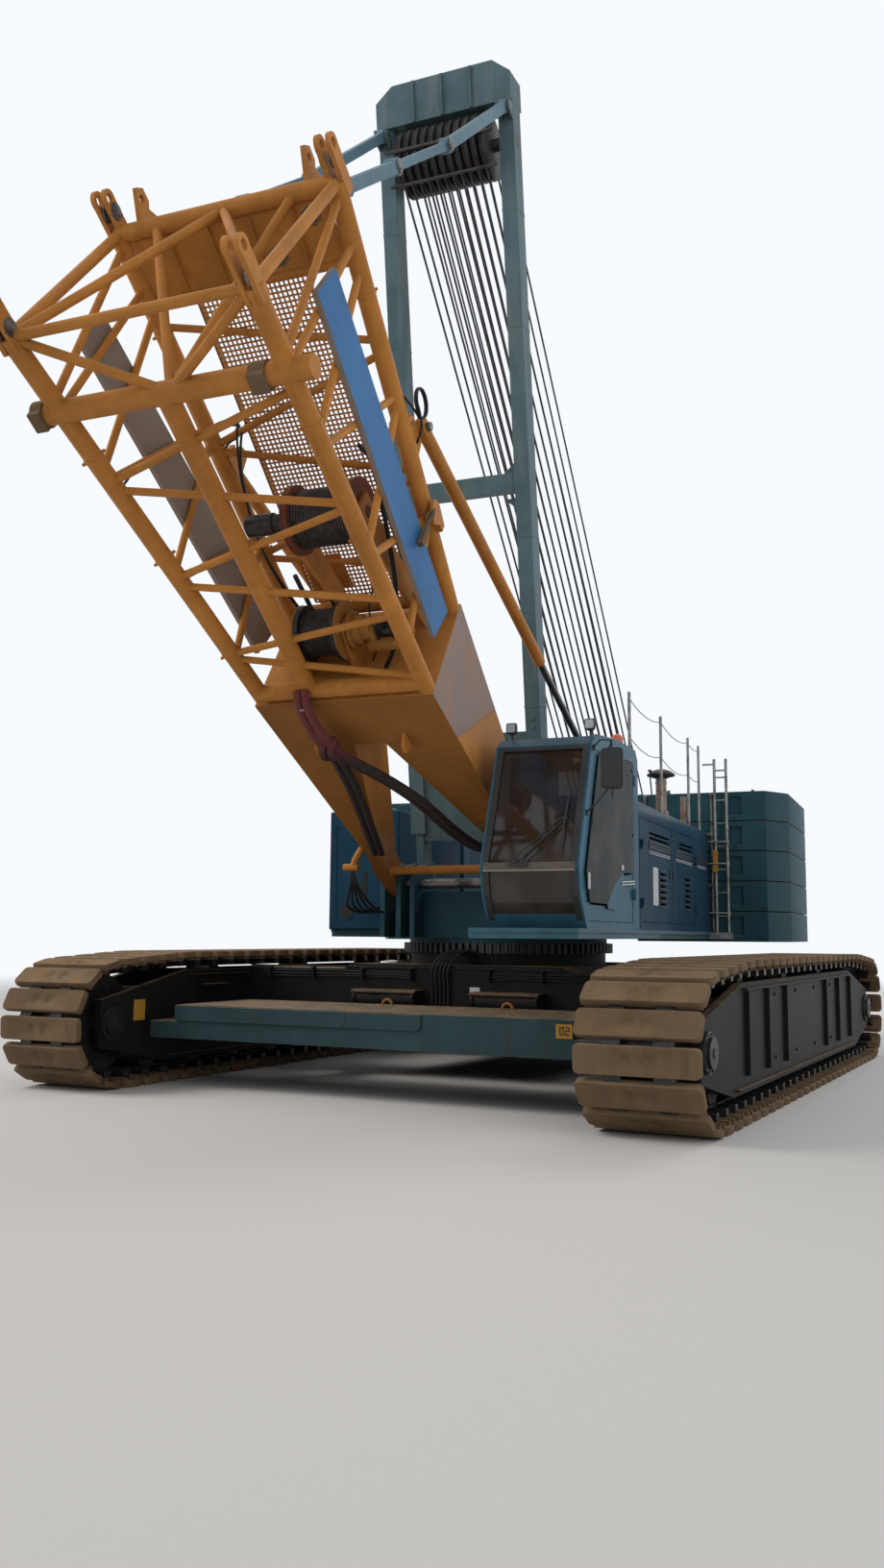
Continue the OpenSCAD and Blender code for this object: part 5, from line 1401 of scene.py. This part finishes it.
class CRANE_OT_boom_fittings(bpy.types.Operator):
    """Adds the clamps, saddles, pins, weld seams, ears and foot tube of the boom"""
    bl_idname = "crane.boom_fittings"
    bl_label = "Boom fittings"

    def execute(self, context):
        painted, dark, pins, link = (Shape("boom") for _ in range(4))
        level = chord_z(TIE, -1)
        for x, half in ((-1.27, 0.06), (0.85, 0.075)):
            dark.lathe((x - half, -TIE, level), X, [(0, 0.1), (0.001, 0.118), (2 * half - 0.001, 0.118),
                                                    (2 * half, 0.1)])
            dark.box((x, -TIE), half, 0.09, level - 0.13, level - 0.05)
        for side in BOTH:
            for u, upper in ((5.1, 1), (6.3, 1), (7.5, 1), (4.9, -1), (6.2, -1), (7.4, -1)):
                a, b = on_chord(side, u, upper), on_chord(side, u + 0.2, upper)
                collar(painted, a, b - a, 0.088, 0.035, 0.008)
        # Dark clips on the right upper brace of the head
        low, high = on_chord(1, 8.43, 1), Vector((0, -TIE, level))
        for share in (0.16, 0.36):
            middle = low.lerp(high, share)
            collar(dark, middle, high - low, 0.05, 0.13, 0.012)
            dark.box(middle, 0.03, 0.02, middle.z - 0.17, middle.z)
        # Link with its shackle outside the right upper chord
        link.prism([(-5.12, 0.66), (-5.3, 0.44), (-5.38, 0.5), (-5.46, 0.6), (-5.42, 0.7), (-5.32, 0.72)],
                   1.09, 1.13)
        link.block((0.98, -5.2, 0.58), (1.12, -5.1, 0.68))
        make("chord_link", link, "boom", bevel=0.006)
        dark.tube([(1.11, -5.38, 0.6), (1.14, -5.4, 0.45), (1.11, -5.4, 0.3), (1.08, -5.4, 0.45),
                   (1.11, -5.38, 0.6)], 0.022)
        dark.block((1.08, -5.42, 0.02), (1.14, -5.36, 0.3))
        # Closed plate under the first bay of the walkway
        painted.block((-0.56, -4.96, 0.618), (-0.11, -4.5, 0.63))
        for side in BOTH:
            for u, z in ((8.62, 1.12), (8.7, -1.01)):
                for x in (1.05, 1.14):
                    pins.lathe((side * x, -u, z), X, [(-0.012, 0.08), (0.012, 0.08)])
            pins.lathe((side * 1.112 - 0.1, -6.05, 1.0), X, [(0, 0.045), (0.2, 0.045)], 20)
            for x in (side - 0.09, side + 0.078):
                painted.prism([(-5.9, 0.74), (-6.2, 0.76), (-6.13, 1.07), (-6.05, 1.1), (-5.97, 1.07)],
                              x, x + 0.012)
        # Foot tube, and the elbow that the foot hoses come from
        painted.tube([(-0.93, -0.5, -0.16), (0.93, -0.5, -0.16)], 0.055, 16)
        painted.tube([(-0.97, -1.08, -0.2), (-1.06, -1.12, -0.31), (-1.13, -1.06, -0.42),
                      (-1.16, -1.0, -0.49)], 0.045, 12)
        painted.tube([(-1.29, -1.0, -0.49), (-1.09, -1.0, -0.49)], 0.045, 12)
        # Weld seams of the foot box and the ears below it
        for side in BOTH:
            painted.tube([(side * 1.019, -3.24, -0.43), (side * 1.019, -2.72, 0.39)], 0.008, 6)
        for x, u in ((-0.544, 3.45), (0.459, 3.41)):
            low = box_under(u)
            painted.prism([(-u - 0.13, low + 0.01), (-u + 0.13, low + 0.01), (-u + 0.05, low - 0.15),
                           (-u - 0.05, low - 0.15)], x - 0.02, x + 0.02)
        make("boom_clamps", painted, "boom", bevel=0.003)
        make("boom_saddles", dark, "shoe", "bare_steel", bevel=0.006)
        make("boom_pins", pins, "steel", bevel=0.004)
        return {"FINISHED"}


class CRANE_OT_shackle(bpy.types.Operator):
    """Builds the shackle and the red link that the round slings hang from"""
    bl_idname = "crane.shackle"
    bl_label = "Shackle"

    def execute(self, context):
        bow, link = Shape("boom"), Shape("boom")
        low = box_under(4.2)
        middle = Vector((-0.38, -4.2, low - 0.08))
        bow.tube([middle + Vector((x, 0, z)) for x, z in (
            (0.07 * cos(radians(a)), 0.075 * sin(radians(a))) for a in range(180, 361, 20))], 0.017, 10)
        bow.tube([middle + Vector((-0.1, 0, 0)), middle + Vector((0.1, 0, 0))], 0.02, 10)
        for x in (-0.07, 0.07):
            bow.lathe(middle + Vector((x - 0.017, 0, 0)), X, [(0, 0.034), (0.034, 0.034)], 18)
        bow.prism([(-4.26, low + 0.01), (-4.14, low + 0.01), (-4.17, low - 0.1), (-4.23, low - 0.1)],
                  -0.39, -0.37)
        make("shackle", bow, "steel", bevel=0.003)
        for x in (-0.33, -0.23):
            centre = Vector((x, -3.62, box_under(3.62) - 0.25))
            link.tube([centre + Vector((0.02 * cos(2 * a), 0.1 * cos(a), 0.085 * sin(a)))
                       for a in turns(15)], 0.042, 10, True)
        make("sling_knot", link, "sling")
        return {"FINISHED"}


class CRANE_OT_drum_windings(bpy.types.Operator):
    """Winds rope on both of the boom's drums, and rims and bolts their flanges"""
    bl_idname = "crane.drum_windings"
    bl_label = "Drum windings"

    def execute(self, context):
        for name, x, half, (y, z), core, rim, strands, look in [
                ("upper", 0.28, 0.35, UPPER_DRUM, 0.272, 0.34, 22, "winch"),
                ("lower", -0.19, 0.23, LOWER_DRUM, 0.232, 0.3, 18, "drive")]:
            wound, flanges = Shape(name + "_drum"), Shape(name + "_drum")
            pitch = (2 * half - 0.08) / strands
            for i in range(strands):
                wound.lathe((x - half + 0.04 + pitch * (i + 0.5), y, z), X,
                            [(-pitch / 2, core - 0.004), (-pitch / 4, core + pitch * 0.36),
                             (pitch / 4, core + pitch * 0.36), (pitch / 2, core - 0.004)], 32)
            for side in BOTH:
                at = x + side * (half + 0.001)
                flanges.lathe((at, y, z), (side, 0, 0), [(0, rim - 0.05), (0.0005, rim + 0.004),
                                                         (0.016, rim + 0.004), (0.018, rim - 0.05)], 48)
                flanges.bolt_circle((at + side * 0.004, y, z), side, rim - 0.09, 10, 0.016, 0.012)
            make(name + "_drum_rope", wound, "rope")
            make(name + "_drum_rims", flanges, look, "winch_red")
        return {"FINISHED"}


class CRANE_OT_winch_drives(bpy.types.Operator):
    """Builds the gearbox, the motors and the open frame beside the boom's drums"""
    bl_idname = "crane.winch_drives"
    bl_label = "Winch drives"

    def execute(self, context):
        drive, motor, bars = (Shape("boom") for _ in range(3))
        drive.lathe((0.13, *LOWER_DRUM), X, [(0, 0.2), (0.03, 0.2), (0.034, 0.16), (0.12, 0.16),
                                              (0.125, 0.12), (0.22, 0.12)], 28)
        drive.bolt_circle((0.162, *LOWER_DRUM), 1, 0.18, 12, 0.012, 0.012)
        drive.block((0.34, -4.62, -0.3), (0.4, -4.42, -0.04))
        drive.block((0.3, -4.5, -0.34), (0.7, -4.4, -0.28))
        make("lower_winch_gearbox", drive, "drive", bevel=0.006)
        motor.lathe((0.4, -4.54, -0.17), X, [(0, 0.075), (0.02, 0.085), (0.24, 0.085), (0.26, 0.06),
                                             (0.3, 0.06)])
        for z in (-0.21, -0.13):
            motor.tube([(0.5, -4.54, z), (0.5, -4.62, z - 0.02), (0.5, -4.7, z)], 0.018, 10)
        motor.lathe((-0.62, *UPPER_DRUM), X, [(0, 0.1), (0.02, 0.11), (0.3, 0.11), (0.32, 0.09),
                                              (0.42, 0.09)])
        make("winch_motors", motor, "grease", bevel=0.004)
        corners = [(-0.42, -5.1, 0.14), (-0.42, -4.6, 0.14), (-0.14, -4.6, 0.14), (-0.14, -5.1, 0.14)]
        for pair in zip(corners, corners[1:]):
            bars.tube(pair, 0.026)
        make("black_frame", bars, "plastic")
        return {"FINISHED"}


# Undercarriage trim

# Axis of the lying jacks, and the carbody's front face
JACK_Y, JACK_Z = 1.91, 1.0
FRONT = 1.75


class CRANE_OT_carbody_trim(bpy.types.Operator):
    """Adds the pipes, the hose block, the jack covers, the ring bolts and the plates of the carbody"""
    bl_idname = "crane.carbody_trim"
    bl_label = "Carbody trim"

    def execute(self, context):
        pipes, boxes, pins, marks = (Shape() for _ in range(4))
        for end in BOTH:
            for side in BOTH:
                for k in range(3):
                    y, z = end * (1.775 + 0.02 * (k % 2)), 1.355 - 0.038 * k
                    pipes.tube([(side * 0.52, y, z - 0.01), (side * 0.9, y, z + 0.012 * (k - 1)),
                                (side * 1.8, y, z), (side * 2.9, y, z - 0.01)], 0.009)
                for x in (0.56, 1.28, 2.05, 2.75):
                    boxes.box((side * x, end * 1.79), 0.018, 0.042, 1.25, 1.4)
                # A cover plate over each lying jack, and its round end flanges
                jack = side * 0.85
                boxes.prism([(end * y, z) for y, z in ((FRONT, 1.13), (2.0, 1.13), (2.03, 1.1),
                                                       (2.03, 1.085), (FRONT, 1.085))],
                            jack - 0.47, jack + 0.47)
                for x in (jack - 0.43, jack + 0.43):
                    boxes.lathe((x - 0.02, end * JACK_Y, JACK_Z), X, [(0, 0.135), (0.04, 0.135)], 28)
                    boxes.bolt_circle((x + 0.02, end * JACK_Y, JACK_Z), 1, 0.118, 8, 0.01, 0.01)
                # Gussets between carbody and cross beams
                boxes.prism([(side * 1.5, 1.38), (side * 1.62, 1.38), (side * 1.5, 1.45)],
                            end * 1.1, end * 1.72, in_front)
            boxes.box((0, end * 1.756), 3.1, 0.012, 1.4, 1.416)
        boxes.block((-0.32, -1.81, 0.8), (0.08, -FRONT, 0.91))
        for i in range(5):
            boxes.lathe((travel_hose_x(i), -1.778, 0.9), Z, [(0, 0.025), (0.07, 0.025), (0.08, 0.018)], 6)
        circle = 1.38
        pins.bolts([(circle * cos(a), circle * sin(a), 1.6) for a in turns(60)], Z, 0.02, 0.028)
        make("carbody_pipes", pipes, "grease")
        make("carbody_brackets", boxes, "under", bevel=0.004)
        make("ring_bolts", pins, "grease")
        marks.block((0.27, -1.757, 1.06), (0.41, -1.751, 1.18))
        make("blank_plate", marks, "white", "undercarriage_paint", bevel=0.001)
        return {"FINISHED"}


# Strokes of two digits on a grid that is one wide and two high
STROKES = {"0": [(0, 0, 0, 2), (1, 0, 1, 2), (0, 0, 1, 0), (0, 2, 1, 2)],
           "2": [(0, 0, 1, 0), (0, 0, 0, 1), (0, 1, 1, 1), (1, 1, 1, 2), (0, 2, 1, 2)]}


def digits(shape, text, place, size):
    """Block strokes of digits on a plate that faces -y"""
    thick = 0.15 * size
    for i, letter in enumerate(text):
        x, z = place[0] + i * size * 1.7, place[2]
        for a, b, c, d in STROKES[letter]:
            shape.block((x + a * size - thick, place[1] - 0.003, z + b * size - thick),
                        (x + c * size + thick, place[1], z + d * size + thick))


class CRANE_OT_ballast_trim(bpy.types.Operator):
    """Adds the lifting rings, the end plates, the yellow tags and a tag's digits to the ballast"""
    bl_idname = "crane.ballast_trim"
    bl_label = "Ballast trim"

    def execute(self, context):
        rings, plates, tag, number = (Shape() for _ in range(4))
        for end in BOTH:
            y = end * 2.72
            for x in (-0.37, 1.23):
                bow = [(a, y, b) for a, b in arc((x, 0.985), 0.065, 180, 0, 10)]
                rings.tube([(x - 0.065, y, 0.93)] + bow + [(x + 0.065, y, 0.93)], 0.017, 10)
            for left, right, proud in ((-2.56, -0.17, 0.03), (-0.2, 0.79, 0.018)):
                corner = arc((right - 0.07, 0.865), 0.07, -90, 0, 6)
                plates.prism([(left, 0.795)] + corner + [(right, 0.972), (left, 0.972)],
                             *sorted((end * 4.0, end * (4.0 + proud))), in_front)
        make("ballast_rings", rings, "drive", "ballast_paint")
        make("ballast_plates", plates, "ballast", bevel=0.006)
        tag.block((2.36, -4.008, 0.79), (2.54, -3.995, 0.935))
        tag.block((-3.152, -4.08, 0.77), (-3.142, -3.88, 1.02))
        digits(number, "02", (2.405, -4.008, 0.83), 0.036)
        make("number_tag", tag, "yellow", bevel=0.001)
        make("tag_digits", number, "plastic")
        return {"FINISHED"}


class CRANE_OT_track_frame_trim(bpy.types.Operator):
    """Adds ribs, hub caps, bolts and steps to both track frames"""
    bl_idname = "crane.track_frame_trim"
    bl_label = "Track frame trim"

    def execute(self, context):
        ribs, caps = Shape(), Shape()

        def rib(x, out, y, half, low, high):
            a, b = sorted((x, x + out))
            ribs.block((a, y - half, low), (b, y + half, high))
        for side in BOTH:
            for face in BOTH:
                x = side * GAUGE / 2 + face * 0.45
                for y in (-3.0, -2.1, -1.2, 1.2, 2.1, 3.0):
                    rib(x, face * 0.05, y, 0.012, 0.42, 1.28)
                rib(x, face * 0.06, 0, 3.1, 1.29, 1.31)
                rib(x, face * 0.05, 0, 3.45, 0.3, 0.32)
                for y in (-END_Y, END_Y):
                    caps.lathe((x, y, END_R), (face, 0, 0), [(-0.01, 0.2), (0.03, 0.2), (0.035, 0.15),
                                                             (0.07, 0.15), (0.075, 0.05), (0.085, 0.05)], 32)
                    caps.bolt_circle((x + face * 0.03, y, END_R), face, 0.175, 10, 0.014, 0.012)
                for y in (-1.65, -0.55, 0.55, 1.65):
                    caps.bolts([(x, y, 1.2), (x, y, 0.5)], (face, 0, 0), 0.022, 0.016)
            # Steps on the inner side of each frame
            for y in (-2.6, 2.4):
                rib(side * 3.15, side * -0.16, y, 0.25, 1.16, 1.18)
        make("track_frame_ribs", ribs, "under", bevel=0.003)
        make("track_frame_caps", caps, "grease", bevel=0.003)
        return {"FINISHED"}


# Panel and registration

OPERATORS = [CRANE_OT_stage, CRANE_OT_foot_hoses, CRANE_OT_boom_hoses, CRANE_OT_carbody_hoses,
             CRANE_OT_slings, CRANE_OT_post_wires, CRANE_OT_solid_finishes, CRANE_OT_tracks,
             CRANE_OT_hoist_ropes, CRANE_OT_walkway, CRANE_OT_cab_trim, CRANE_OT_cab_door_trim,
             CRANE_OT_mirror_and_lamps, CRANE_OT_seat, CRANE_OT_house_trim, CRANE_OT_intake,
             CRANE_OT_ladder_trim, CRANE_OT_counterweight_trim, CRANE_OT_deck_trim, CRANE_OT_mast_trim,
             CRANE_OT_pendant_pins, CRANE_OT_boom_fittings, CRANE_OT_shackle, CRANE_OT_drum_windings,
             CRANE_OT_winch_drives, CRANE_OT_carbody_trim, CRANE_OT_ballast_trim,
             CRANE_OT_track_frame_trim]


class CRANE_PT_panel(bpy.types.Panel):
    """Lists the crane's pieces"""
    bl_idname = "CRANE_PT_panel"
    bl_label = "Crane"
    bl_space_type = "VIEW_3D"
    bl_region_type = "UI"
    bl_category = "Crane"

    def draw(self, context):
        for group in (context.scene.crane_sizes, context.scene.crane_colours):
            for key in group.__annotations__:
                self.layout.prop(group, key)
        for operator in OPERATORS:
            self.layout.operator(operator.bl_idname)


CLASSES = [CraneSizes, CraneColours, *OPERATORS, CRANE_PT_panel]


def register():
    for cls in CLASSES:
        bpy.utils.register_class(cls)
    bpy.types.Scene.crane_sizes = PointerProperty(type=CraneSizes)
    bpy.types.Scene.crane_colours = PointerProperty(type=CraneColours)


def unregister():
    del bpy.types.Scene.crane_sizes, bpy.types.Scene.crane_colours
    for cls in reversed(CLASSES):
        bpy.utils.unregister_class(cls)


def main():
    register()
    for operator in OPERATORS:
        getattr(bpy.ops.crane, operator.bl_idname.split(".")[1])()


if __name__ == "__main__":
    main()
